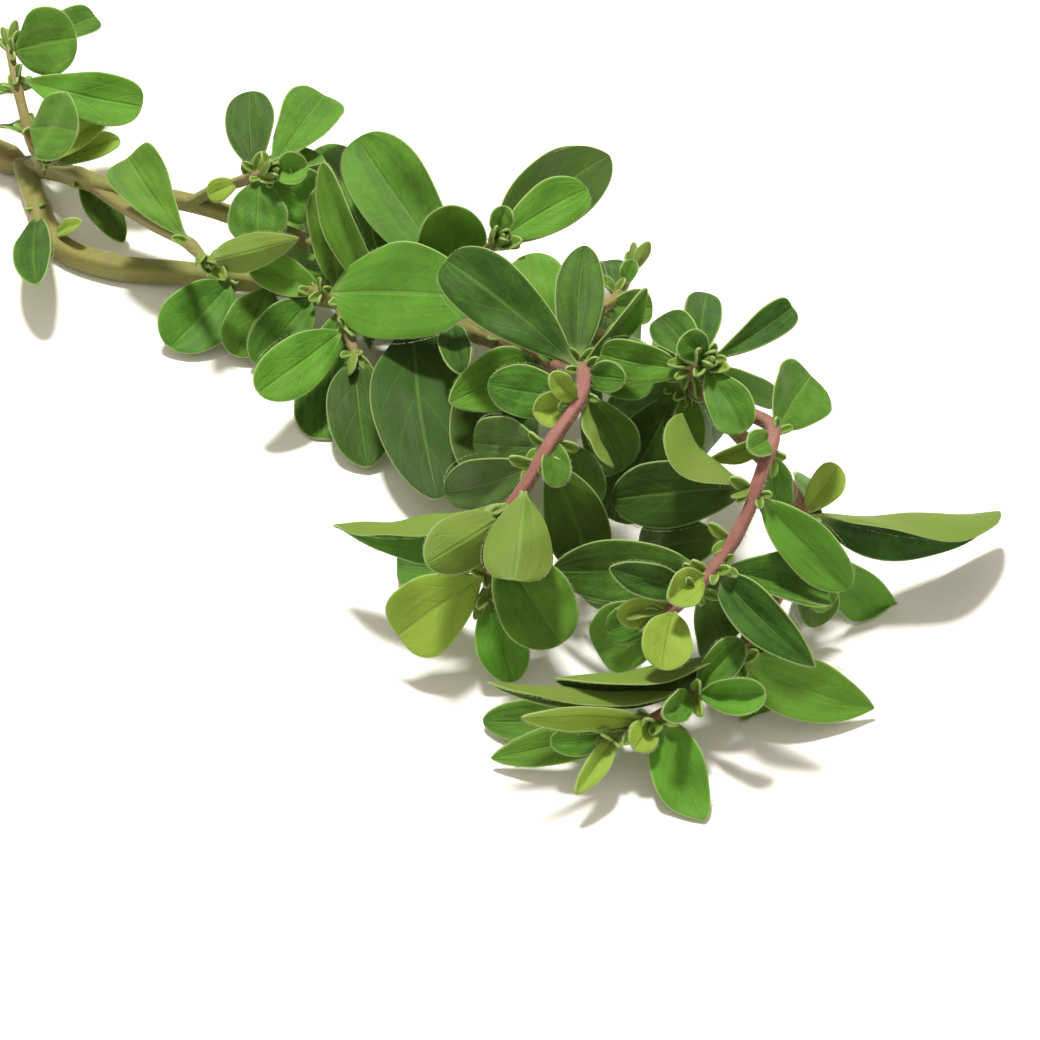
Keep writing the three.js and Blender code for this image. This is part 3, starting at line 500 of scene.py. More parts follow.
def outline_at(leaf, t, swell):
    """Half the leaf's width: the blade's, wider by a share, or the stalk's where that is more."""
    return np.maximum(half_width(leaf, t) * (1 + swell), STALK_WIDTH / 2 * (t < STALK_UNTIL))


def table_lift(height):
    """Height above the table after the table has pushed it up, and how steeply the new
    height follows the old one: half of d + sqrt(d^2 + softness^2) over the table level."""
    above = height - TABLE_LEVEL
    root = np.sqrt(above * above + TABLE_SOFTNESS**2)
    return TABLE_LEVEL + (above + root) / 2, (1 + above / root) / 2


def blade(leaf, s, t, swell=0.0, sway=0.0, wave=0.0):
    """Points of the blade's middle surface and the directions square to it. swell widens
    the outline by a share, sway moves the midrib sideways and wave lifts the surface."""
    direction, face, across = leaf_axes(leaf)
    bend = (leaf.curl * t)[..., None]
    midrib = leaf.length * (np.sin(bend) * direction - (1 - np.cos(bend)) * face) / leaf.curl
    facing = np.sin(bend) * direction + np.cos(bend) * face
    x = s * outline_at(leaf, t, swell)
    crease = CREASE_SHARE * leaf.width
    slant = np.sqrt(x * x + crease * crease)
    rise = np.sin(leaf.fold) * (slant - crease) + wave
    points = leaf.root + midrib
    points = points + (x * np.cos(leaf.fold) + sway)[..., None] * across + rise[..., None] * facing
    square = np.cos(leaf.fold) * facing - (np.sin(leaf.fold) * x / slant)[..., None] * across
    points[..., 2], steep = table_lift(points[..., 2])
    square[..., :2] *= steep[..., None]
    return points, unit(square)


first = SHOOTS["lower_branch"].leaves[0]
print("first leaf is %.1f mm long" % aimed_leaf(lines["lower_branch"], LeafPick(*first)).length)

# %% [markdown]
# ## Room between the leaves
#
# Leaves of a living sprig rest against each other but don't pass through each
# other. So the leaves go in one by one, and each keeps a small clearance from the
# stems and from the leaves before it. A crowded leaf has its tip lowered or lifted in
# the line of sight, which keeps its place in the picture. It is never lowered into the
# table, or below its pick where that presses on the table. Only where no lift is enough
# it swings, by the least turn that frees it. Physics could push the leaves apart too,
# but would take minutes and would not stop at the places that the picks give.

# %% Clearance, and the lifts and swings that a crowded leaf may try
LEAF_CLEARANCE = 1.4
SISTER_ALLOWANCE = 0.5
SEARCH_REACH = 4.0
NO_NEIGHBOUR = 9.0
OWN_STEM_REACH = 5.0
STEM_SAMPLE_STEP = 1.0
SAMPLE_SPACING = 1.6
SAMPLE_START = 0.35
DEEPEST_LIFT = -12
HIGHEST_LIFT = 6
LIFT_WEIGHT = 2.5
LOWEST_TIP = 0.5
SWING_STEP = 6
SWING_LIMIT = 5
SWING_RISE_WEIGHT = 0.7
LEAST_GAIN = 1e-9
STEM_MARK = 1000


def leaf_samples(leaf):
    """A coarse grid of points on the outer part of a leaf."""
    rows = int(np.ceil(leaf.length / SAMPLE_SPACING)) + 1
    columns = int(np.ceil(leaf.width / SAMPLE_SPACING)) + 1
    t = np.linspace(SAMPLE_START, 1, rows)[:, None]
    s = np.linspace(-1, 1, columns)[None, :]
    return blade(leaf, s + 0 * t, t + 0 * s)[0].reshape(-1, 3)


class Room:
    """The points taken so far, with the shoot that each belongs to and its radius."""

    def __init__(self):
        self.points = np.zeros((0, 3))
        self.owners = np.zeros(0, int)
        self.radii = np.zeros(0)

    def take(self, points, owner, radii):
        """Adds points to what is taken."""
        self.points = np.vstack([self.points, points])
        self.owners = np.concatenate([self.owners, np.full(len(points), owner)])
        self.radii = np.concatenate([self.radii, np.broadcast_to(radii, len(points))])

    def around(self, points, root, owner):
        """The least distance from the points to what is taken, less its radius. A sister
        leaf counts as a little farther, and the stem right at the root doesn't count."""
        low, high = points.min(axis=0) - SEARCH_REACH, points.max(axis=0) + SEARCH_REACH
        near = ((self.points > low) & (self.points < high)).all(axis=1)
        at_root = ((self.points - root) ** 2).sum(axis=1) < OWN_STEM_REACH**2
        near &= ~((self.owners >= STEM_MARK) & at_root)
        if not near.any():
            return NO_NEIGHBOUR
        gaps = points[:, None] - self.points[near][None]
        gaps = np.sqrt((gaps**2).sum(axis=-1)) - self.radii[near]
        return (gaps + SISTER_ALLOWANCE * (self.owners[near] == owner)).min()


LIFTS = list(range(DEEPEST_LIFT, HIGHEST_LIFT + 1))
LIFTS.sort(key=lambda lift: (-lift if lift < 0 else LIFT_WEIGHT * lift, lift))
steps = range(-SWING_LIMIT, SWING_LIMIT + 1)
SWINGS = [(SWING_STEP * a, SWING_STEP * b) for a in steps for b in steps]
SWINGS.sort(key=lambda swing: (swing[0] ** 2 + SWING_RISE_WEIGHT * swing[1] ** 2, swing[0], swing[1]))


def swung(leaf, heading, rise):
    """The leaf turned by some degrees of heading and of rise."""
    return leaf._replace(heading=leaf.heading + np.radians(heading), rise=leaf.rise + np.radians(rise))


def place_leaf(room, line, pick, owner):
    """The leaf of a pick after the least lift of its tip that clears it, none of them to
    under the lowest tip or, where that is lower, its own pick. If no lift clears it, the
    leaf after the least swing that does, or after the roomiest swing."""
    lowest = min(LOWEST_TIP, pick.tip_height)
    for lift in LIFTS:
        height = pick.tip_height + lift
        if height < lowest:
            continue
        lifted = aimed_leaf(line, pick._replace(tip_height=height))
        points = leaf_samples(lifted)
        if room.around(points, lifted.root, owner) > LEAF_CLEARANCE:
            room.take(points, owner, 0.0)
            return lifted
    leaf = aimed_leaf(line, pick)
    best_room = -np.inf
    for heading, rise in SWINGS:
        tried = swung(leaf, heading, rise)
        points = leaf_samples(tried)
        gap = room.around(points, leaf.root, owner)
        if gap > best_room + LEAST_GAIN:
            best_room, best_leaf, best_points = gap, tried, points
        if gap > LEAF_CLEARANCE:
            break
    room.take(best_points, owner, 0.0)
    return best_leaf


print("%d lifts and %d swings to try" % (len(LIFTS), len(SWINGS)))

# %% [markdown]
# ## Growing the sprig
#
# The picked leaves go in first, shoot by shoot. The side that the picture doesn't
# show then gets smaller leaves by rule: every 6 mm of stem has a joint, each joint
# has up to four places around the stem, and only those that point away from the eye
# are tried. The draws come from a plain seeded sum, so the same sprig grows anywhere.

# %% Grow every leaf
JOINT_SPACING = 6
LEAVES_AT_A_JOINT = 4
HIDDEN_SEED = 7
HIDDEN_TRIES = 30
HIDDEN_SHORTEST = 9
HIDDEN_SPREAD = 7
HIDDEN_TAPER = 0.45
HIDDEN_SLENDERNESS = 0.52
HIDDEN_FOLD = np.radians(18)
HIDDEN_CURL = np.radians(22)
HIDDEN_POINT = 0.5
HIDDEN_LIMIT = 0.1
HIDDEN_END_GAP = 0.5
HIDDEN_TURN_PLAY = 15
HIDDEN_ROLL_PLAY = 20
HIDDEN_SWING_SCALE = 2
SHOWN_SIDE = np.array([0.0, -0.7, 0.7])
ALONG_STEM = 0.5
OFF_STEM = 0.87
DRAW_FACTOR = 1664525
DRAW_STEP = 1013904223
DRAW_WRAP = 2**32


class Draws:
    """Seeded shares from 0 to 1: the last number times a factor plus a step, wrapped round,
    over the number at which it wraps."""

    def __init__(self, seed):
        self.state = seed

    def __call__(self):
        self.state = (self.state * DRAW_FACTOR + DRAW_STEP) % DRAW_WRAP
        return self.state / DRAW_WRAP


def place_hidden_leaf(room, root, direction, length, roll, owner):
    """A leaf of the hidden side if one of the first swings clears it, else None."""
    for heading, rise in SWINGS[:HIDDEN_TRIES]:
        leaf = Leaf(
            root=root,
            heading=np.arctan2(direction[1], direction[0]) + np.radians(HIDDEN_SWING_SCALE * heading),
            rise=np.arcsin(direction[2]) + np.radians(rise),
            length=length,
            width=HIDDEN_SLENDERNESS * length,
            roll=roll,
            fold=HIDDEN_FOLD,
            curl=HIDDEN_CURL,
            point=HIDDEN_POINT,
        )
        points = leaf_samples(leaf)
        if room.around(points, root, owner) > LEAF_CLEARANCE:
            room.take(points, owner, 0.0)
            return leaf
    return None


def hidden_leaves(room, name, owner, draw):
    """The leaves that fill a shoot's far side, joint by joint."""
    shoot, line, length = SHOOTS[name], lines[name], lengths[name]
    found = []
    if shoot.hidden_from is None:
        return found
    run = shoot.hidden_from
    joint = 0
    while run < min(shoot.hidden_to, length - HIDDEN_END_GAP):
        root = point_at(line, run)
        along = direction_at(line, run)
        up = upright(along)
        aside = np.cross(along, up)
        for place in range(LEAVES_AT_A_JOINT):
            turn = 90 * place + 45 * (joint % 2) + 2 * HIDDEN_TURN_PLAY * draw() - HIDDEN_TURN_PLAY
            turn = np.radians(turn)
            direction = unit(ALONG_STEM * along + OFF_STEM * (up * np.cos(turn) + aside * np.sin(turn)))
            size = (HIDDEN_SHORTEST + HIDDEN_SPREAD * draw()) * (1 - HIDDEN_TAPER * run / length)
            roll = np.radians(2 * HIDDEN_ROLL_PLAY * draw() - HIDDEN_ROLL_PLAY)
            if direction @ SHOWN_SIDE > HIDDEN_LIMIT:
                continue
            leaf = place_hidden_leaf(room, root, direction, size, roll, owner)
            if leaf is not None:
                found.append(leaf)
        run += JOINT_SPACING
        joint += 1
    return found


room = Room()
for owner, (name, shoot) in enumerate(SHOOTS.items()):
    run = np.arange(0, lengths[name], STEM_SAMPLE_STEP)
    radii = shoot.half_start + (shoot.half_end - shoot.half_start) * run / lengths[name]
    room.take(point_at(lines[name], run), STEM_MARK + owner, radii)

leaves = {name: [] for name in SHOOTS}
for owner, (name, shoot) in enumerate(SHOOTS.items()):
    for pick in shoot.leaves:
        leaves[name].append(place_leaf(room, lines[name], LeafPick(*pick), owner))
draw = Draws(HIDDEN_SEED)
for owner, name in enumerate(SHOOTS):
    leaves[name] += hidden_leaves(room, name, owner, draw)
print("%d leaves grown" % sum(len(grown) for grown in leaves.values()))

# %% [markdown]
# ## From the picture's frame to the part's frame
#
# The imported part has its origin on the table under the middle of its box, and the
# picks have theirs under the middle of the picture. The bare cut stem settles the
# step between the two: its box is known in both frames. Both stand on the table, so
# heights stay as they are.

# %% Measure the step between the frames
STEM_STATION = 4.0


def station_runs(length, spacing):
    """Even runs along a stem, at most one spacing apart, with both ends."""
    return np.linspace(0, length, int(np.ceil(length / spacing)) + 1)


def square_corners(line, run, half):
    """The four corners of the square section at each run."""
    along = direction_at(line, run)
    up = upright(along)
    aside = np.cross(along, up)
    centre = point_at(line, run)
    signs = ((1, 1), (1, -1), (-1, 1), (-1, -1))
    return np.stack([centre + half * (a * up + b * aside) for a, b in signs], axis=1)


cut = SHOOTS["cut_stem"]
corners = square_corners(lines["cut_stem"], station_runs(lengths["cut_stem"], STEM_STATION), cut.half_start)
low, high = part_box("cut_stem")
own_low, own_high = corners.reshape(-1, 3).min(axis=0), corners.reshape(-1, 3).max(axis=0)
FRAME_STEP = (np.array(low) / MM + np.array(high) / MM - own_low - own_high) / 2
FRAME_STEP[2] = 0.0
misfit = (np.array(high) - np.array(low)) / MM - (own_high - own_low)
print("frame step", FRAME_STEP.round(3), "mm, misfit of the two boxes", misfit.round(3), "mm")

# %% [markdown]
# ## Skins: closed rings along a path
#
# A leaf and a stem are the same kind of thing to a mesh: rings of points, one after
# the other, closed by a point at either end. So one helper turns any such grid of
# points into faces. Drawing the faces by hand or with a screw modifier would do for
# one stem; a helper does for every piece here, and the faces always point outwards.

# %% Put rings of points into a mesh
def ring_faces(rings, around):
    """Corner numbers of the quads between rings, and of the two fans that close the ends.
    The points are the rings in order, then the first pole, then the last pole."""
    i = np.arange(rings - 1)[:, None] * around
    k = np.arange(around)[None, :]
    after = (k + 1) % around
    quads = np.stack([i + k, i + after, i + after + around, i + k + around], axis=-1).reshape(-1, 4)
    k, after = k[0], after[0]
    first, last = rings * around, rings * around + 1
    end = (rings - 1) * around
    start_fan = np.stack([after, k, np.full(around, first)], axis=-1)
    end_fan = np.stack([end + k, end + after, np.full(around, last)], axis=-1)
    return quads, np.vstack([start_fan, end_fan])


class Skin:
    """Points, quads and triangles collected from many closed shapes, with named numbers
    for every point."""

    def __init__(self):
        self.points, self.quads, self.triangles, self.marks = [], [], [], {}
        self.count = 0

    def add(self, points, quads, triangles, **marks):
        """One more shape. Each mark is one value for all of its points, or one for each."""
        self.points.append(points)
        self.quads.append(quads + self.count)
        self.triangles.append(triangles + self.count)
        for name, value in marks.items():
            self.marks.setdefault(name, []).append(np.broadcast_to(value, len(points)))
        self.count += len(points)

    def piece(self, name, material):
        """A smooth Blender object of all the shapes, in metres, in the part's frame."""
        points = (np.vstack(self.points) + FRAME_STEP) * MM
        quads, triangles = np.vstack(self.quads), np.vstack(self.triangles)
        corners = np.concatenate([quads.ravel(), triangles.ravel()])
        sizes = np.concatenate([np.full(len(quads), 4), np.full(len(triangles), 3)])
        mesh = bpy.data.meshes.new(name)
        mesh.vertices.add(len(points))
        mesh.vertices.foreach_set("co", points.astype(np.float32).ravel())
        mesh.loops.add(len(corners))
        mesh.loops.foreach_set("vertex_index", corners.astype(np.int32))
        mesh.polygons.add(len(sizes))
        mesh.polygons.foreach_set("loop_start", np.concatenate([[0], np.cumsum(sizes)[:-1]]).astype(np.int32))
        mesh.update(calc_edges=True)
        mesh.shade_smooth()
        for mark, values in self.marks.items():
            layer = mesh.attributes.new(mark, "FLOAT", "POINT")
            layer.data.foreach_set("value", np.concatenate(values).astype(np.float32))
        mesh.materials.append(material)
        obj = bpy.data.objects.new(name, mesh)
        bpy.context.scene.collection.objects.link(obj)
        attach(obj, "root")
        print("%-24s %6d triangles" % (name, 2 * len(quads) + len(triangles)))
        return obj


# %% [markdown]
# ## The leaf's skin
#
# A fresh marjoram leaf is a third of a millimetre thick, with a round margin, a
# shallow groove over the midrib and a raised rib under it. Its margin is never quite
# even, and its midrib never quite straight. A Solidify modifier would give an even
# plate with square edges. Working the skin out as a ring around each section gives
# the round margin, the stalk and the rib in one closed surface.

# %% A closed skin around the blade
BLADE_THICKNESS = 0.34
STALK_THICKNESS = 0.8
STALK_ENDS = 0.16
THICKEST_SHARE = 1.2
LEAST_THICKNESS = 0.02
RIB_HEIGHT = 0.24
RIB_WIDTH = 0.42
RIB_FADE = 0.7
GROOVE_DEPTH = 0.12
OUTLINE_WAVE = 0.035
OUTLINE_RHYTHM = 9
OUTLINE_SIDE_SHIFT = 1.7
MIDRIB_SWAY = 0.03
MARGIN_WAVE = 0.04
MARGIN_RHYTHM = 6
MARGIN_RHYTHM_PLAY = 4
MARGIN_SIDE_SHIFT = 1.9
BLADE_SWELL = 0.022
SWELL_RHYTHM = 1.7
SWELL_SLANT = 3
ANY_PHASE = 6
MARGIN_FROM = 0.999
FAR_FROM_MARGIN = 5
RING_CROWDING = 0.2
LEAF_AROUND, LEAF_ALONG = 36, 30
BUD_AROUND, BUD_ALONG = 20, 14


def smooth_step(value, low, high):
    """0 below low, 1 above high, and 3x^2 - 2x^3 of the share between them."""
    x = np.clip((value - low) / (high - low), 0, 1)
    return x * x * (3 - 2 * x)


def leaf_skin(leaf, around, along, draws):
    """Points of the closed skin, and each point's place: s across, t along, the distance
    to the margin in mm, and 1 where it is on the underside. A ring's angle a gives
    s = cos(a); the skin stands off the middle surface by half the thickness times
    sqrt(1 - s^6), up where sin(a) is positive and down where it is negative. The four
    draws shift the waves of the outline, the midrib and the margin."""
    turn = -np.arange(around) * 2 * np.pi / around
    a = (turn + RING_CROWDING * np.sin(2 * turn))[None, :]
    t = ((1 - np.cos(np.pi * np.linspace(0, 1, along + 2))) / 2)[1:-1, None]
    s = np.cos(a) + 0 * t
    t = t + 0 * a
    upper = np.sin(a) + 0 * t
    side = np.sign(s)
    body = np.sin(np.pi * np.clip((t - STALK_SHARE) / (1 - STALK_SHARE), 0, 1))
    phase = OUTLINE_RHYTHM * t + ANY_PHASE * draws[0] + OUTLINE_SIDE_SHIFT * side
    swell = OUTLINE_WAVE * np.sin(phase) * body
    sway = MIDRIB_SWAY * leaf.length * (2 * draws[1] - 1) * 4 * t * (1 - t)
    phase = (MARGIN_RHYTHM + MARGIN_RHYTHM_PLAY * draws[2]) * t
    phase = phase + ANY_PHASE * draws[3] + MARGIN_SIDE_SHIFT * side
    wave = MARGIN_WAVE * s * s * np.sin(phase)
    wave = wave + BLADE_SWELL * np.sin(SWELL_RHYTHM * phase + SWELL_SLANT * s)
    wave = leaf.width * body * wave
    middle, square = blade(leaf, s, t, swell, sway, wave)
    outline = outline_at(leaf, t, swell)
    x = np.abs(s) * outline
    is_blade = smooth_step(t, STALK_SHARE, STALK_ENDS)
    thickness = STALK_THICKNESS + (BLADE_THICKNESS - STALK_THICKNESS) * is_blade
    thickness = np.minimum(thickness, THICKEST_SHARE * outline + LEAST_THICKNESS)
    half = thickness / 2 * np.sqrt(np.clip(1 - s**6, 0, 1))
    on_midrib = np.exp(-((x / RIB_WIDTH) ** 2)) * (1 - t) ** RIB_FADE * is_blade
    offset = np.where(upper > 0, half - GROOVE_DEPTH * on_midrib, -half - RIB_HEIGHT * on_midrib)
    offset = np.where(np.abs(s) > MARGIN_FROM, 0.0, offset)
    points = middle + offset[..., None] * square
    root, _ = blade(leaf, np.zeros(1), np.zeros(1))
    tip, _ = blade(leaf, np.zeros(1), np.ones(1))
    points = np.vstack([points.reshape(-1, 3), root, tip])
    edge = np.minimum((1 - np.abs(s)) * outline, (1 - t) * leaf.length)
    edge = edge + FAR_FROM_MARGIN * (1 - is_blade)
    marks = {
        "across": np.concatenate([s.ravel(), [0, 0]]),
        "along": np.concatenate([t.ravel(), [0, 1]]),
        "edge": np.concatenate([edge.ravel(), [FAR_FROM_MARGIN, 0]]),
        "underside": np.concatenate([(0.5 - 0.5 * np.sign(np.round(upper, 3))).ravel(), [0.5, 0.5]]),
    }
    return points, marks


first = leaves["lower_branch"][0]
points, marks = leaf_skin(first, LEAF_AROUND, LEAF_ALONG, np.full(4, 0.5))
print("the first leaf's skin has %d points, each with %s" % (len(points), ", ".join(marks)))

# %% [markdown]
# ## The stem's skin
#
# Mint-family stems are square, with rounded corners and slightly hollow sides, and
# they thicken at each joint where leaves leave them. A superellipse is a rounded
# square in one formula, so the section needs no drawn profile, and the joints are
# soft bumps added to its radius along the run.

# %% A closed skin around a stem line
STEM_SPACING = 0.7
STEM_AROUND = 24
SECTION_POWER = 3.2
SIDE_HOLLOW = 0.07
JOINT_SWELL = 0.15
JOINT_REACH = 1.1
JOINT_LEAF = 6.0
TIP_TAPER = 2.5
TIP_OVERSHOOT = 0.5
TIP_LEFT = 0.45
CUT_RINGS = (0.45, 0.9)
PITH_FROM, PITH_TO = 0.5, 0.95
PLAIN_FLUSH = (0, 1, 0.15)

# Where a stem starts to turn purple, where it is fully so, in mm along it, and how much.
FLUSH = {
    "lower_branch": (70, 92, 1.0),
    "upper_branch": (100, 122, 1.0),
    "right_branch": (0, 12, 0.75),
    "crown_shoot": (0, 4, 0.5),
    "back_shoot": (0, 8, 0.25),
    "under_shoot": (0, 5, 0.4),
}


def leaf_runs(name, least_length):
    """How far along the stem each leaf over a length leaves it."""
    line = lines[name]
    roots = np.array([leaf.root for leaf in leaves[name] if leaf.length > least_length]).reshape(-1, 3)
    nearest = ((roots[:, None] - line[None]) ** 2).sum(axis=-1).argmin(axis=1)
    return runs_of(line)[nearest]


def stem_radius(name, run, turn):
    """Distance from the stem's axis to its skin at a run and an angle: the half width,
    thicker at joints and thinner at the tip, over the p-th root of |cos|^p + |sin|^p,
    a little less in the middle of each side."""
    shoot, length = SHOOTS[name], lengths[name]
    half = shoot.half_start + (shoot.half_end - shoot.half_start) * run / length
    joints = leaf_runs(name, JOINT_LEAF)
    if len(joints):
        nearness = np.exp(-(((run[..., None] - joints) / JOINT_REACH) ** 2)).max(axis=-1)
        half = half * (1 + JOINT_SWELL * nearness)
    half = half * (TIP_LEFT + (1 - TIP_LEFT) * smooth_step(length - run, -TIP_OVERSHOOT, TIP_TAPER))
    p = SECTION_POWER
    section = (np.abs(np.cos(turn)) ** p + np.abs(np.sin(turn)) ** p) ** (-1 / p)
    return half * section * (1 - SIDE_HOLLOW * np.cos(2 * turn) ** 2)


def stem_frame(name, run):
    """Centre, up and aside of a stem at the given runs."""
    along = direction_at(lines[name], run)
    up = upright(along)
    return point_at(lines[name], run), up, np.cross(along, up)


def flush_at(name, run):
    """How purple a stem is at the given runs."""
    start, full, amount = FLUSH.get(name, PLAIN_FLUSH)
    return amount * smooth_step(run, start, full)


def stem_skin(name):
    """Rings round the stem line, with the poles at its two ends: points, the number of
    rings, and how purple and how pithy each point is. The bare stem's cut end gets two
    small rings first, so that its face stays flat."""
    length = lengths[name]
    run = station_runs(length, STEM_SPACING)
    shrink = np.ones(len(run))
    if name == "cut_stem":
        run = np.concatenate([np.zeros(len(CUT_RINGS)), run])
        shrink = np.concatenate([CUT_RINGS, shrink])
    turn = np.arange(STEM_AROUND) * 2 * np.pi / STEM_AROUND
    centre, up, aside = stem_frame(name, run)
    radius = stem_radius(name, run[:, None] + 0 * turn, turn[None, :]) * shrink[:, None]
    outward = up[:, None] * np.cos(turn)[None, :, None] + aside[:, None] * np.sin(turn)[None, :, None]
    points = centre[:, None] + radius[..., None] * outward
    points[..., 2] = np.maximum(points[..., 2], 0.0)
    pith = np.repeat(1 - smooth_step(shrink, PITH_FROM, PITH_TO), STEM_AROUND)
    flush = np.repeat(flush_at(name, run), STEM_AROUND)
    marks = {
        "flush": np.concatenate([flush, flush[:1], flush[-1:]]),
        "pith": np.concatenate([pith, [1.0 if name == "cut_stem" else 0.0], [0.0]]),
    }
    points = np.vstack([points.reshape(-1, 3), centre[:1], centre[-1:]])
    return points, len(run), marks


print("joints of the lower branch at", np.unique(leaf_runs("lower_branch", JOINT_LEAF).round()).tolist())

# %% [markdown]
# ## Buds and small leaves in the axils
#
# Every shoot ends in a tuft of young leaves that still hug each other, each pair
# turned a quarter from the one before, and tiny leaves sprout in the axils of the
# bigger ones. They are the same kind of leaf, only small, cupped and yellow-green,
# so they come from the same function.

# %% Rules for buds and axil leaves
BUD_PAIRS = 4
BUD_PAIR_STEP = 0.5
BUD_LONGEST = 4.2
BUD_SHRINK = 0.72
BUD_SIZE_LEAST, BUD_SIZE_PLAY = 0.9, 0.2
BUD_OPEN = 44
BUD_CLOSE = 11
BUD_OPEN_PLAY = 5
BUD_TURN = 35
BUD_TURN_PLAY = 20
BUD_FOLD = np.radians(30)
BUD_CUP = np.radians(-35)
BUD_SLENDERNESS = 0.5
BUD_POINT = 0.6
AXIL_LONGEST = 3.0
AXIL_SHORTEST = 1.6
AXIL_LEAF = 7.5
AXIL_AHEAD, AXIL_UP = 0.45, 0.75
AXIL_ASIDE, AXIL_ASIDE_PLAY = 0.35, 0.3
AXIL_STEEPEST = 0.97
AXIL_STANDOFF = 0.5
AXIL_SLENDERNESS = 0.55
AXIL_CURL = -BUD_CUP / 2


def facing_leaf(root, direction, inward, length, width, fold, curl):
    """A leaf with its direction at the root and the side that its face turns to."""
    face = unit(inward - (inward @ direction) * direction)
    return Leaf(
        root=root,
        heading=np.arctan2(direction[1], direction[0]),
        rise=np.arcsin(direction[2]),
        length=length,
        width=width,
        roll=roll_between(direction, upright(direction), face),
        fold=fold,
        curl=curl,
        point=BUD_POINT,
    )


def bud_leaves(name, draw):
    """Pairs of leaves at a shoot's tip, each pair smaller, steeper and a quarter turn on."""
    length = lengths[name]
    found = []
    for pair in range(BUD_PAIRS):
        run = length - BUD_PAIR_STEP * (BUD_PAIRS - 1 - pair)
        centre, up, aside = (v[0] for v in stem_frame(name, np.array([run])))
        along = direction_at(lines[name], run)
        opening = BUD_OPEN + (BUD_CLOSE - BUD_OPEN) * pair / (BUD_PAIRS - 1)
        opening = np.radians(opening + 2 * BUD_OPEN_PLAY * draw() - BUD_OPEN_PLAY)
        size = BUD_LONGEST * BUD_SHRINK**pair * (BUD_SIZE_LEAST + BUD_SIZE_PLAY * draw())
        for half_turn in (0, 180):
            turn = np.radians(90 * pair + half_turn + BUD_TURN_PLAY * draw() + BUD_TURN)
            outward = up * np.cos(turn) + aside * np.sin(turn)
            direction = unit(np.cos(opening) * along + np.sin(opening) * outward)
            width = BUD_SLENDERNESS * size
            found.append(facing_leaf(centre, direction, along, size, width, BUD_FOLD, BUD_CUP))
    return found


def axil_leaves(name, draw):
    """Two tiny leaves between each bigger leaf and the stem above it."""
    found = []
    for leaf in leaves[name]:
        if leaf.length < AXIL_LEAF:
            continue
        direction, face, across = leaf_axes(leaf)
        for side in (-1, 1):
            size = AXIL_SHORTEST + (AXIL_LONGEST - AXIL_SHORTEST) * draw()
            aside = side * (AXIL_ASIDE + AXIL_ASIDE_PLAY * draw())
            lean = unit(AXIL_AHEAD * direction + AXIL_UP * face + aside * across)
            if abs(lean[2]) > AXIL_STEEPEST:
                continue
            root = leaf.root + AXIL_STANDOFF * direction
            width = AXIL_SLENDERNESS * size
            found.append(facing_leaf(root, lean, face - lean, size, width, BUD_FOLD, AXIL_CURL))
    return found


draw = Draws(HIDDEN_SEED + 1)
buds = {name: bud_leaves(name, draw) for name in SHOOTS if name != "cut_stem"}
axils = {name: axil_leaves(name, draw) for name in SHOOTS}
print("%d bud leaves, %d axil leaves" % (sum(map(len, buds.values())), sum(map(len, axils.values()))))

# %% [markdown]
# ## Hairs
#
# Marjoram is downy. At this size a hair is a slim three-sided spike, a few dozen
# micrometres thick and a few tenths of a millimetre long. Blender's own hair would
# look finer, but it isn't mesh and is lost when the part is exported, so the spikes
# are real triangles, about ten of them to each millimetre of margin or green stem.

# %% Spikes for hairs, and where they grow
HAIR_RADIUS = 0.018
HAIR_FLOOR = 0.01
NEARLY_UPRIGHT = 0.9
MARGIN_HAIRS = 10
MARGIN_HAIR_LENGTH = 0.17
MARGIN_HAIR_LEAST, MARGIN_HAIR_PLAY = 0.6, 0.8
INNER_SHARE = 0.9
BEHIND_STEP = 0.02
NEVER_ZERO = 1e-6
TIPWARD_LEAN, FACEWARD_LEAN, MARGIN_SCATTER = 0.5, 0.35, 0.25
STEM_HAIRS = 9
FLUSHED_STEM_HAIRS = 26
STEM_HAIR_LENGTH = 0.42
STEM_HAIR_LEAST = 0.5
STEM_SCATTER = 0.4
ROOT_DEPTH_SHARE = 0.98


def spikes(roots, directions, sizes):
    """Slim three-sided pyramids: three points round each root, then the tip."""
    directions = unit(directions)
    helper = np.where(np.abs(directions[:, 2:3]) < NEARLY_UPRIGHT, TOP, RIGHT)
    one = unit(np.cross(directions, helper))
    two = np.cross(directions, one)
    turn = np.arange(3) * 2 * np.pi / 3
    ring = one[:, None] * np.cos(turn)[None, :, None] + two[:, None] * np.sin(turn)[None, :, None]
    base = roots[:, None] + HAIR_RADIUS * ring
    tip = roots + directions * np.asarray(sizes)[:, None]
    points = np.concatenate([base, tip[:, None]], axis=1)
    points[..., 2] = np.maximum(points[..., 2], HAIR_FLOOR)
    corners = np.array([[0, 1, 3], [1, 2, 3], [2, 0, 3], [0, 2, 1]])
    triangles = (np.arange(len(roots))[:, None, None] * 4 + corners[None]).reshape(-1, 3)
    return points.reshape(-1, 3), triangles


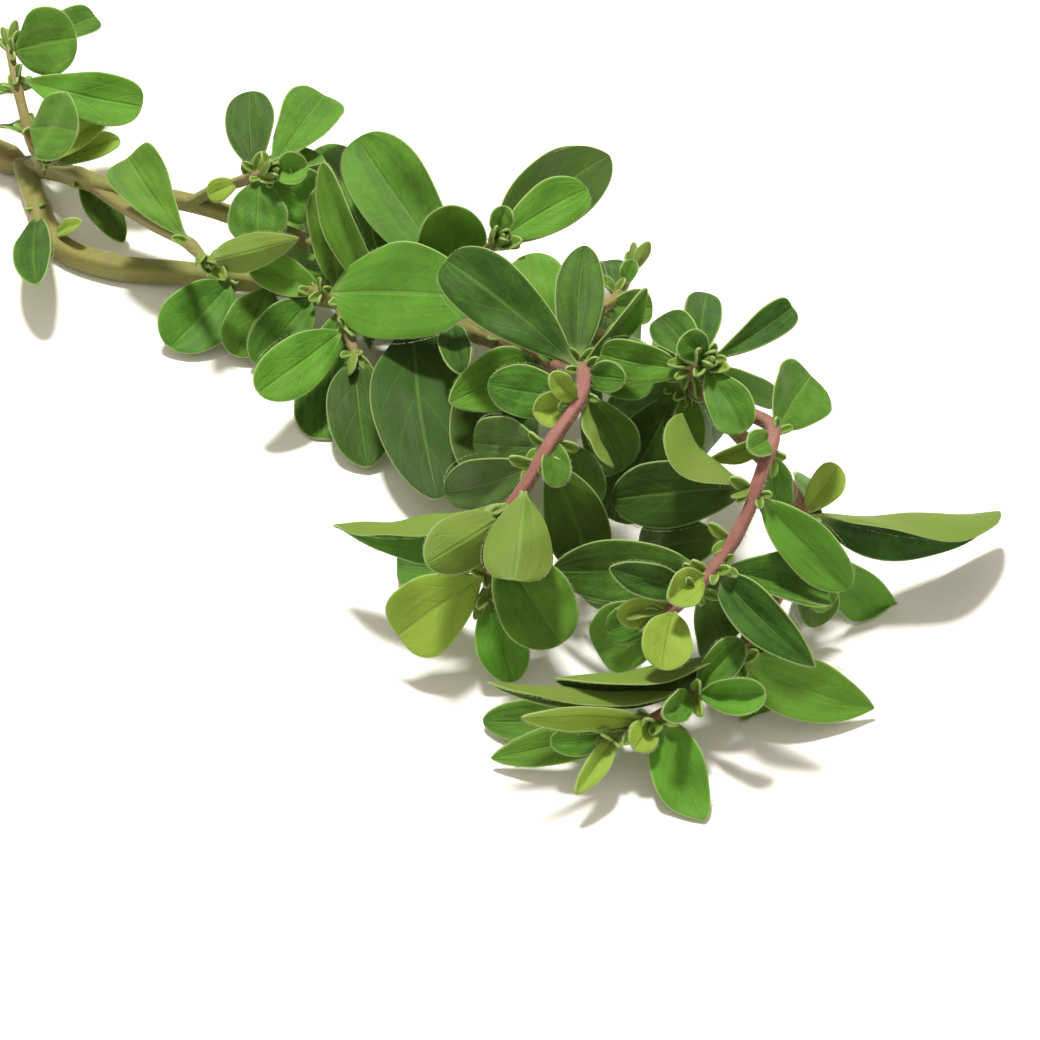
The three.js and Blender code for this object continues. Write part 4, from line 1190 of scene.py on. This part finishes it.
def margin_hairs(leaf, rng):
    """Hairs along both margins, closer together towards the tip, leaning outward and a
    little to the tip."""
    count = int(MARGIN_HAIRS * 2 * leaf.length)
    t = STALK_ENDS + (1 - STALK_ENDS) * np.sqrt(rng.random(count))
    side = np.where(rng.random(count) < 0.5, -1.0, 1.0)
    edge, _ = blade(leaf, side, t)
    inside, square = blade(leaf, side * INNER_SHARE, t)
    behind, _ = blade(leaf, side, np.clip(t - BEHIND_STEP, 0, 1))
    lean = unit(edge - inside) + TIPWARD_LEAN * unit(edge - behind + NEVER_ZERO)
    lean += FACEWARD_LEAN * square * rng.normal(size=(count, 1))
    lean += MARGIN_SCATTER * rng.normal(size=(count, 3))
    return edge, lean, MARGIN_HAIR_LENGTH * (MARGIN_HAIR_LEAST + MARGIN_HAIR_PLAY * rng.random(count))


def stem_hairs(name, rng):
    """Hairs all round a stem, closer together where it is purple."""
    length = lengths[name]
    run = rng.random(int(FLUSHED_STEM_HAIRS * length)) * length
    wanted = STEM_HAIRS + (FLUSHED_STEM_HAIRS - STEM_HAIRS) * flush_at(name, run)
    run = run[rng.random(len(run)) < wanted / FLUSHED_STEM_HAIRS]
    turn = rng.random(len(run)) * 2 * np.pi
    centre, up, aside = stem_frame(name, run)
    outward = up * np.cos(turn)[:, None] + aside * np.sin(turn)[:, None]
    roots = centre + outward * stem_radius(name, run, turn)[:, None] * ROOT_DEPTH_SHARE
    lean = outward + STEM_SCATTER * rng.normal(size=(len(run), 3))
    return roots, lean, STEM_HAIR_LENGTH * (STEM_HAIR_LEAST + rng.random(len(run)))


roots, lean, sizes = margin_hairs(leaves["lower_branch"][0], np.random.default_rng(HIDDEN_SEED))
print("%d hairs on the first leaf's margin" % len(roots))

# %% [markdown]
# ## Materials
#
# A leaf's look is three things: its green, which runs from deep to yellow-green with
# age and also carries painted shade and painted light; its marks, the veins, the paler
# underside and the pale margin; and its soft surface, which is matt with a faint sheen
# from down. The marks follow the leaf, so they read the places that the skin wrote into
# the mesh. The mottling is in the tissue, so it reads the object's own coordinates.

# %% Short ways to wire shader nodes
def linear(red, green, blue):
    """A screen colour from 0 to 255 as the linear colour that shaders use."""
    share = np.array([red, green, blue]) / 255
    curved = np.where(share <= 0.04045, share / 12.92, ((share + 0.055) / 1.055) ** 2.4)
    return (*curved.tolist(), 1.0)


def put(tree, kind, inputs=None, **settings):
    """A node of a kind, with its settings, and each input set to a value or joined to
    the output that is given for it."""
    node = tree.nodes.new(kind)
    for name, value in settings.items():
        setattr(node, name, value)
    for name, value in (inputs or {}).items():
        if isinstance(value, bpy.types.NodeSocket):
            tree.links.new(value, node.inputs[name])
        else:
            node.inputs[name].default_value = value
    return node


def calc(tree, operation, *values):
    """The output of a Math node over the given values or outputs."""
    return put(tree, "ShaderNodeMath", dict(enumerate(values)), operation=operation).outputs[0]


def blend(tree, share, low, high):
    """The output of a colour mix: low where the share is 0, high where it is 1. A Mix
    node keeps its share in socket 0, its colours in 6 and 7, and its result in 2."""
    return put(tree, "ShaderNodeMix", {0: share, 6: low, 7: high}, data_type="RGBA").outputs[2]


def ramp(tree, value, low, high):
    """0 at low, 1 at high, smooth between them."""
    inputs = {"Value": value, "From Min": low, "From Max": high}
    return put(tree, "ShaderNodeMapRange", inputs, interpolation_type="SMOOTHSTEP").outputs[0]


def mark(tree, name):
    """A number that the mesh carries for every point."""
    return put(tree, "ShaderNodeAttribute", attribute_name=name).outputs["Fac"]


def own_place(tree):
    """The object's own coordinates."""
    return put(tree, "ShaderNodeTexCoord").outputs["Object"]


def noise(tree, place, scale, detail):
    """A noise from 0 to 1 that is read at a place."""
    inputs = {"Vector": place, "Scale": scale, "Detail": detail}
    return put(tree, "ShaderNodeTexNoise", inputs).outputs[0]


def new_group(name, inputs, outputs):
    """An empty node group with its sockets: (tree, input node, output node)."""
    tree = bpy.data.node_groups.new(name, "ShaderNodeTree")
    for label, value in inputs.items():
        socket = tree.interface.new_socket(label, in_out="INPUT", socket_type="NodeSocketFloat")
        socket.default_value = value
    for label, kind in outputs.items():
        tree.interface.new_socket(label, in_out="OUTPUT", socket_type=kind)
    return tree, tree.nodes.new("NodeGroupInput"), tree.nodes.new("NodeGroupOutput")


def from_group(tree, group, inputs=None):
    """The output of a node group that is placed with a material's own numbers."""
    return put(tree, "ShaderNodeGroup", inputs, node_tree=group).outputs[0]


def new_material(name):
    """A material with an empty tree: (material, tree)."""
    material = bpy.data.materials.new(name)
    material.use_nodes = True
    material.node_tree.nodes.clear()
    return material, material.node_tree


def close_material(tree, inputs):
    """Ends a material in one Principled shader with the given inputs."""
    shader = put(tree, "ShaderNodeBsdfPrincipled", inputs)
    put(tree, "ShaderNodeOutputMaterial", {"Surface": shader.outputs[0]})


print("wiring helpers ready")

# %% [markdown]
# ### Mottling and down, shared by leaves and stems
#
# Two noises of different size, added, give plant tissue its uneven tone. The down
# is a very fine noise that only tilts the surface. Both are node groups, built once
# and placed in each material with that material's own numbers. A leaf also has faint
# lengthwise streaks, from a noise that is read across the blade much faster than
# along it: painted shade and painted light of the fold lines along the blade, with a
# faint relief from the same noise.

# %% Node groups for mottling and for the downy surface
BROAD_SHARE, FINE_SHARE = 0.6, 0.4
NOISE_LOW, NOISE_HIGH = 0.3, 0.7


def tissue_group():
    """Uneven tone from 0 to 1: a broad noise and a fine one, in the object's coordinates."""
    tree, given, out = new_group(
        "plant tissue", {"Broad Scale": 180.0, "Fine Scale": 1400.0}, {"Tone": "NodeSocketFloat"}
    )
    place = own_place(tree)
    broad = noise(tree, place, given.outputs["Broad Scale"], 2.0)
    fine = noise(tree, place, given.outputs["Fine Scale"], 3.0)
    both = calc(tree, "MULTIPLY_ADD", broad, BROAD_SHARE, calc(tree, "MULTIPLY", fine, FINE_SHARE))
    tree.links.new(ramp(tree, both, NOISE_LOW, NOISE_HIGH), out.inputs["Tone"])
    return tree


def down_group():
    """A normal tilted by a relief in mm and by the fine noise of short down on it."""
    tree, given, out = new_group(
        "short down",
        {"Relief": 0.0, "Down Scale": 5200.0, "Down Height": 0.02},
        {"Normal": "NodeSocketVector"},
    )
    down = noise(tree, own_place(tree), given.outputs["Down Scale"], 2.0)
    height = calc(tree, "MULTIPLY_ADD", down, given.outputs["Down Height"], given.outputs["Relief"])
    bump = put(tree, "ShaderNodeBump", {"Height": height, "Distance": MM, "Strength": 1.0})
    tree.links.new(bump.outputs[0], out.inputs["Normal"])
    return tree


TISSUE = tissue_group()
DOWN = down_group()
print("groups:", TISSUE.name, "and", DOWN.name)

# %% [markdown]
# ### The leaf's material
#
# Side veins leave the midrib, sweep forward in an arc and fade before the margin.
# The line of equal "t minus sweep times s to a power" is such an arc, so a saw wave
# of that number, sharpened, draws all of them at once. The veins are a little paler
# than the blade and sink into it.

# %% Leaf material
DEEP_GREEN = linear(30, 64, 20)
BRIGHT_GREEN = linear(92, 144, 46)
YOUNG_GREEN = linear(146, 170, 66)
UNDERSIDE_GREEN = linear(108, 126, 54)
MARGIN_GREEN = linear(156, 176, 112)
VEIN_GREEN = linear(116, 152, 70)
MARGIN_REACH = 0.2
MARGIN_PALENESS = 0.85
STALK_PALENESS = 0.6
VEIN_PAIRS = 4
VEIN_SWEEP = 0.42
VEIN_POWER = 1.15
SIDE_VEIN_STRENGTH = 0.3
VEINS_ABOVE, VEINS_BELOW = 0.22, 0.5
VEIN_DEPTH = 0.07
STREAKS_ACROSS, STREAKS_ALONG, STREAKS_BY_TONE = 4.0, 1.2, 40.0
# Painted shade and painted light of the fold lines, as a share of the leaf's tone.
STREAK_PAINTED_LIGHT_AND_SHADE = 0.16
STREAK_RELIEF = 0.04
TISSUE_TONE = 0.24
TISSUE_BELOW = 0.3
LEAF_ROUGHNESS, LEAF_ROUGHNESS_PLAY = 0.5, 0.16


def vein_mask(tree):
    """1 on the midrib, less on the side veins, 0 between them."""
    across = calc(tree, "ABSOLUTE", mark(tree, "across"))
    swept = calc(tree, "MULTIPLY", calc(tree, "POWER", across, VEIN_POWER), VEIN_SWEEP)
    lag = calc(tree, "SUBTRACT", mark(tree, "along"), swept)
    saw = calc(tree, "FRACT", calc(tree, "MULTIPLY", lag, VEIN_PAIRS))
    middle = calc(tree, "ABSOLUTE", calc(tree, "SUBTRACT", saw, 0.5))
    side = calc(tree, "MULTIPLY", ramp(tree, middle, 0.4, 0.5), ramp(tree, across, 1.0, 0.55))
    side = calc(tree, "MULTIPLY", side, SIDE_VEIN_STRENGTH)
    return calc(tree, "MAXIMUM", side, ramp(tree, across, 0.08, 0.02))


def streaks(tree):
    """Faint lengthwise streaks from 0 to 1, for painted shade and painted light of the fold
    lines along a blade and for its faint relief: a noise that is read at a place made of
    the leaf's own marks, across, along and tone, each times a number of its own. Leaves
    of different tone so have different streaks."""
    place = put(tree, "ShaderNodeCombineXYZ", {
        "X": calc(tree, "MULTIPLY", mark(tree, "across"), STREAKS_ACROSS),
        "Y": calc(tree, "MULTIPLY", mark(tree, "along"), STREAKS_ALONG),
        "Z": calc(tree, "MULTIPLY", mark(tree, "tone"), STREAKS_BY_TONE),
    }).outputs[0]
    return ramp(tree, noise(tree, place, 1.0, 2.0), NOISE_LOW, NOISE_HIGH)


def leaf_material():
    """Green by tone and youth, with painted shade and painted light in the tone and the
    streaks, and with veins, underside, margin and stalk over it.
    """
    material, tree = new_material("marjoram leaf")
    tissue = from_group(tree, TISSUE)
    veins = vein_mask(tree)
    streak = streaks(tree)
    mottling = calc(tree, "MULTIPLY_ADD", tissue, TISSUE_TONE, -TISSUE_TONE / 2)
    # The tone mark is each leaf's own green together with its painted shade and painted light.
    tone = calc(tree, "ADD", mark(tree, "tone"), mottling)
    # The streaks add painted shade and painted light of the fold lines to the green.
    tone = calc(tree, "ADD", tone, calc(tree, "MULTIPLY_ADD", streak, STREAK_PAINTED_LIGHT_AND_SHADE, -STREAK_PAINTED_LIGHT_AND_SHADE / 2))
    upper = blend(tree, ramp(tree, tone, 0.0, 1.0), DEEP_GREEN, BRIGHT_GREEN)
    upper = blend(tree, mark(tree, "youth"), upper, YOUNG_GREEN)
    upper = blend(tree, calc(tree, "MULTIPLY", veins, VEINS_ABOVE), upper, VEIN_GREEN)
    under = blend(tree, calc(tree, "MULTIPLY", veins, VEINS_BELOW), UNDERSIDE_GREEN, VEIN_GREEN)
    under = blend(tree, calc(tree, "MULTIPLY", tissue, TISSUE_BELOW), under, BRIGHT_GREEN)
    skin = blend(tree, ramp(tree, mark(tree, "underside"), 0.3, 0.7), upper, under)
    rim = calc(tree, "MULTIPLY", ramp(tree, mark(tree, "edge"), MARGIN_REACH, 0.0), MARGIN_PALENESS)
    stalk = ramp(tree, mark(tree, "along"), STALK_ENDS + 0.05, STALK_SHARE - 0.04)
    pale = calc(tree, "MAXIMUM", rim, calc(tree, "MULTIPLY", stalk, STALK_PALENESS))
    skin = blend(tree, pale, skin, MARGIN_GREEN)
    relief = calc(tree, "MULTIPLY_ADD", streak, STREAK_RELIEF, calc(tree, "MULTIPLY", veins, -VEIN_DEPTH))
    close_material(tree, {
        "Base Color": skin,
        "Roughness": calc(tree, "MULTIPLY_ADD", tissue, LEAF_ROUGHNESS_PLAY, LEAF_ROUGHNESS),
        "Normal": from_group(tree, DOWN, {"Relief": relief, "Down Height": 0.016}),
        "Specular IOR Level": 0.12,
        "Subsurface Weight": 0.2,
        "Subsurface Radius": (0.35, 0.6, 0.12),
        "Subsurface Scale": 1.0 * MM,
        "Sheen Weight": 0.03,
        "Sheen Roughness": 0.5,
        "Sheen Tint": linear(214, 226, 190),
    })
    return material


LEAF = leaf_material()
print("leaf material has", len(LEAF.node_tree.nodes), "nodes")

# %% [markdown]
# ### Stem and hair materials
#
# The old stem is olive with brown spots, and young shoots flush purple where light
# reaches them. The cut end shows pale pith. Painted spots would need an image, so a
# noise that only counts above a level makes them. Hairs are pale and nearly white.

# %% Stem material and hair material
OLD_STEM = linear(130, 122, 58)
GREEN_STEM = linear(110, 120, 54)
PURPLE_STEM = linear(142, 88, 84)
BROWN_STEM = linear(124, 96, 62)
PITH = linear(216, 210, 166)
HAIR_WHITE = linear(206, 208, 178)
SPOT_SCALE = 420.0
SPOT_STRENGTH = 0.45
PURPLE_LEAST, PURPLE_PLAY = 0.75, 0.3
STEM_RELIEF = 0.05
STEM_ROUGHNESS, STEM_ROUGHNESS_PLAY = 0.5, 0.15
HAIR_ROUGHNESS, HAIR_ROUGHNESS_PLAY = 0.5, 0.1


def stem_material():
    """Olive bark with brown spots, under the purple flush and the pith."""
    material, tree = new_material("marjoram stem")
    tissue = from_group(tree, TISSUE, {"Broad Scale": 120.0, "Fine Scale": 900.0})
    bark = blend(tree, tissue, GREEN_STEM, OLD_STEM)
    spots = ramp(tree, noise(tree, own_place(tree), SPOT_SCALE, 4.0), 0.5, 0.72)
    bark = blend(tree, calc(tree, "MULTIPLY", spots, SPOT_STRENGTH), bark, BROWN_STEM)
    uneven = calc(tree, "MULTIPLY_ADD", tissue, PURPLE_PLAY, PURPLE_LEAST)
    purple = calc(tree, "MULTIPLY", mark(tree, "flush"), uneven)
    bark = blend(tree, calc(tree, "MINIMUM", purple, 1.0), bark, PURPLE_STEM)
    bark = blend(tree, mark(tree, "pith"), bark, PITH)
    relief = calc(tree, "MULTIPLY", tissue, STEM_RELIEF)
    close_material(tree, {
        "Base Color": bark,
        "Roughness": calc(tree, "MULTIPLY_ADD", tissue, STEM_ROUGHNESS_PLAY, STEM_ROUGHNESS),
        "Normal": from_group(tree, DOWN, {"Relief": relief, "Down Height": 0.03}),
        "Specular IOR Level": 0.35,
        "Sheen Weight": 0.15,
    })
    return material


def hair_material():
    """Nearly white, with a little of the margin's green."""
    material, tree = new_material("pale down")
    tissue = from_group(tree, TISSUE, {"Broad Scale": 300.0})
    close_material(tree, {
        "Base Color": blend(tree, tissue, HAIR_WHITE, MARGIN_GREEN),
        "Roughness": calc(tree, "MULTIPLY_ADD", tissue, HAIR_ROUGHNESS_PLAY, HAIR_ROUGHNESS),
    })
    return material


STEM = stem_material()
HAIR = hair_material()
print("materials:", LEAF.name, "/", STEM.name, "/", HAIR.name)

# %% [markdown]
# ## Dressing each shoot
#
# Every shoot gets three pieces: its leaves, its stem and its hairs. The leaves piece
# stands for the shoot's imported solid. The bare cut stem has no leaves, so there the
# stem piece does. A leaf's tone is a seeded draw around one of four tones, and the
# picks below name the leaves that the picture shows clearly darker, paler or younger,
# by their row in the leaf picks. Darker and paler are partly the leaves' own greens
# and partly painted shade and painted light: the shade and light that fall on a leaf
# are partly painted into its green.

# %% Which leaves are deep, dark, pale or young, with painted shade and painted light
# Deep and dark picks are partly the leaves' own green and partly painted shade, for leaves that lie in shade.
DEEP_GREEN_AND_PAINTED_SHADE_LEAVES = {
    "lower_branch": (1, 30),
    "upper_branch": (2, 18, 22),
    "right_branch": (2,),
    "ridge_shoot": (0,),
    "under_shoot": (1,),
}
DARK_GREEN_AND_PAINTED_SHADE_LEAVES = {
    "lower_branch": (2, 8, 15, 23, 28, 29, 38),
    "upper_branch": (4, 5, 7, 19, 21, 24),
    "right_branch": (0, 3),
    "crown_shoot": (1, 2, 5, 9),
    "back_shoot": (0,),
    "far_shoot": (4,),
}
# Pale picks are partly the leaves' own green and partly painted light, for some leaves that lie in shade.
PALE_GREEN_AND_PAINTED_LIGHT_LEAVES = {
    "lower_branch": (0, 9, 13, 14, 16, 18, 20, 31, 32, 35),
    "upper_branch": (3, 14, 17, 20),
    "right_branch": (1, 4, 5, 6, 8, 10, 11, 12, 15, 16, 17),
    "left_shoot": (2, 4, 5),
    "back_shoot": (3, 4),
    "ridge_shoot": (1,),
    "crown_shoot": (4,),
    "under_shoot": (0,),
}
YOUNG_LEAVES = {
    "lower_branch": (9, 10, 13, 39),
    "upper_branch": (8, 9, 10, 15),
    "right_branch": (10, 12, 14, 15),
    "left_shoot": (4, 5),
    "back_shoot": (5,),
}
DEEP_TONE, DARK_TONE, MIDDLE_TONE, PALE_TONE = 0.05, 0.25, 0.5, 0.75
TONE_SPREAD = 0.14
YOUNG_LEAF, OLD_LEAF = 0.75, 0.15
YOUNG_BUD, YOUNG_BUD_PLAY = 0.2, 0.4


def leaf_tone(name, number, draw):
    """How bright a leaf's green is, from 0 to 1: partly its own green, partly painted shade and painted
    light.
    """
    tone = MIDDLE_TONE
    if number in DEEP_GREEN_AND_PAINTED_SHADE_LEAVES.get(name, ()):
        tone = DEEP_TONE
    if number in DARK_GREEN_AND_PAINTED_SHADE_LEAVES.get(name, ()):
        tone = DARK_TONE
    if number in PALE_GREEN_AND_PAINTED_LIGHT_LEAVES.get(name, ()):
        tone = PALE_TONE
    return tone + TONE_SPREAD * (draw - 0.5)


print("%d leaves named as young" % sum(map(len, YOUNG_LEAVES.values())))

# %% Make the pieces
def leaves_piece(name, rng):
    """All leaves of a shoot, with its buds and axil leaves, as one piece."""
    skin = Skin()
    quads, fans = ring_faces(LEAF_ALONG, LEAF_AROUND)
    for number, leaf in enumerate(leaves[name]):
        points, marks = leaf_skin(leaf, LEAF_AROUND, LEAF_ALONG, rng.random(4))
        youth = YOUNG_LEAF if number in YOUNG_LEAVES.get(name, ()) else OLD_LEAF * rng.random()
        skin.add(points, quads, fans, tone=leaf_tone(name, number, rng.random()), youth=youth, **marks)
    quads, fans = ring_faces(BUD_ALONG, BUD_AROUND)
    for leaf in buds[name] + axils[name]:
        points, marks = leaf_skin(leaf, BUD_AROUND, BUD_ALONG, rng.random(4))
        youth = YOUNG_BUD + YOUNG_BUD_PLAY * rng.random()
        skin.add(points, quads, fans, tone=MIDDLE_TONE, youth=youth, **marks)
    piece = skin.piece(name + "_leaves", LEAF)
    return piece


def stem_piece(name):
    """The stem of a shoot as one piece."""
    points, rings, marks = stem_skin(name)
    skin = Skin()
    skin.add(points, *ring_faces(rings, STEM_AROUND), **marks)
    piece = skin.piece(name + "_stem" if name != "cut_stem" else "bare_stem", STEM)
    return piece


def hairs_piece(name, rng):
    """The hairs of a shoot's stem and leaf margins as one piece. A hair that would leave
    the box of the solids doesn't grow."""
    parts = [stem_hairs(name, rng)] + [margin_hairs(leaf, rng) for leaf in leaves[name]]
    roots, lean, sizes = (np.concatenate(part) for part in zip(*parts))
    tips = (roots + unit(lean) * sizes[:, None] + FRAME_STEP) * MM
    inside = ((tips > solid_box[0]) & (tips < solid_box[1])).all(axis=1)
    points, triangles = spikes(roots[inside], lean[inside], sizes[inside])
    skin = Skin()
    skin.add(points, np.zeros((0, 4), int), triangles)
    piece = skin.piece(name + "_hairs", HAIR)
    return piece


for index, name in enumerate(SHOOTS):
    rng = np.random.default_rng(HIDDEN_SEED + index)
    stem = stem_piece(name)
    hairs_piece(name, rng)
    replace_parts(stem if name == "cut_stem" else leaves_piece(name, rng), name)

# %% [markdown]
# ## The table
#
# The sprig lies on a plain white surface. One flat square is enough for it, as long as
# it is so wide that its edge is never in the picture. It is marked as stage, so it
# isn't part of the sprig. A faint grain keeps the white from looking like a hole.

# %% Floor
FLOOR_SIZE = 3.0
FLOOR_GRAIN_SCALE = 900.0
FLOOR_SHADE = linear(248, 246, 243)
FLOOR_WHITE = linear(252, 251, 249)


def floor_material():
    """White with a faint fine grain."""
    material, tree = new_material("white table")
    grain = noise(tree, own_place(tree), FLOOR_GRAIN_SCALE, 3.0)
    tint = blend(tree, grain, FLOOR_SHADE, FLOOR_WHITE)
    close_material(tree, {"Base Color": tint, "Roughness": 0.7, "Specular IOR Level": 0.1})
    return material


half = FLOOR_SIZE / 2
corners = [(-half, -half, 0), (half, -half, 0), (half, half, 0), (-half, half, 0)]
mesh = bpy.data.meshes.new("floor")
mesh.from_pydata(corners, [], [(0, 1, 2, 3)])
mesh.materials.append(floor_material())
floor = bpy.data.objects.new("floor", mesh)
bpy.context.scene.collection.objects.link(floor)
floor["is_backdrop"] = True
print("floor %.1f m wide" % FLOOR_SIZE)

# %% [markdown]
# ## Light
#
# One light hangs high above the sprig, a little behind it and to the left, so that
# shadows fall towards the eye. It is small enough to give them fairly crisp edges. A
# sun lamp could do this too, but a lamp with a size and a distance is easier to
# picture. A pale warm world fills the shadows.

# %% Lights and world
KEY_PLACE = (-0.07, 0.22, 0.71)
KEY_AIM = (0.0, 0.0, 0.0)
KEY_SIZE = 0.1
KEY_POWER = 7.2
KEY_COLOUR = linear(255, 253, 247)
WORLD_COLOUR = linear(255, 245, 230)
WORLD_STRENGTH = 0.62


def soft_light(name, position, aim, size, power, colour):
    """A square area light that looks from its position to a point: tipped up from straight
    down by the angle of the way there, then turned to face along it."""
    lamp = bpy.data.lights.new(name, "AREA")
    lamp.size = size
    lamp.energy = power
    lamp.color = colour[:3]
    obj = bpy.data.objects.new(name, lamp)
    position, aim = np.array(position), np.array(aim)
    forward = unit(aim - position)
    flat = np.hypot(forward[0], forward[1])
    obj.location = position
    obj.rotation_euler = (np.arctan2(flat, -forward[2]), 0, np.arctan2(forward[1], forward[0]) - np.pi / 2)
    bpy.context.scene.collection.objects.link(obj)


soft_light("window", KEY_PLACE, KEY_AIM, KEY_SIZE, KEY_POWER, KEY_COLOUR)
world = bpy.data.worlds.new("studio")
world.use_nodes = True
backdrop = world.node_tree.nodes["Background"]
backdrop.inputs["Color"].default_value = WORLD_COLOUR
backdrop.inputs["Strength"].default_value = WORLD_STRENGTH
bpy.context.scene.world = world
bpy.context.scene.view_settings.view_transform = "Standard"
print("key light", KEY_POWER, "W, world", WORLD_STRENGTH)

# %% [markdown]
# ## Camera
#
# The camera stands where the picks were measured from, so each leaf shows where it
# was picked. It could be fitted by hand instead, but the eye is already known: it
# only has to be moved by the step between the two frames.

# %% Camera
NEAREST_SHOWN = 0.01

lens = bpy.data.cameras.new("camera")
lens.lens = LENS
lens.sensor_width = SENSOR
lens.clip_start = NEAREST_SHOWN
camera = bpy.data.objects.new("camera", lens)
camera.location = (EYE + FRAME_STEP) * MM
camera.rotation_euler = (np.pi / 2 - EYE_ELEVATION, 0, 0)
bpy.context.scene.collection.objects.link(camera)
bpy.context.scene.camera = camera
print("camera at", [round(value, 4) for value in camera.location])

# %% [markdown]
# ## Sizes, and the end
#
# The dressed sprig has to stay in the box of its solids. Both boxes are printed in
# millimetres, so that they can be compared.

# %% Print both boxes
dressed_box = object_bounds()
sizes = {
    "solids": [list(corner) for corner in solid_box],
    "dressed": [list(corner) for corner in dressed_box],
}
for label, (low_corner, high_corner) in sizes.items():
    print("%-8s" % label, [round(1000 * (b - a), 2) for a, b in zip(low_corner, high_corner)], "mm")
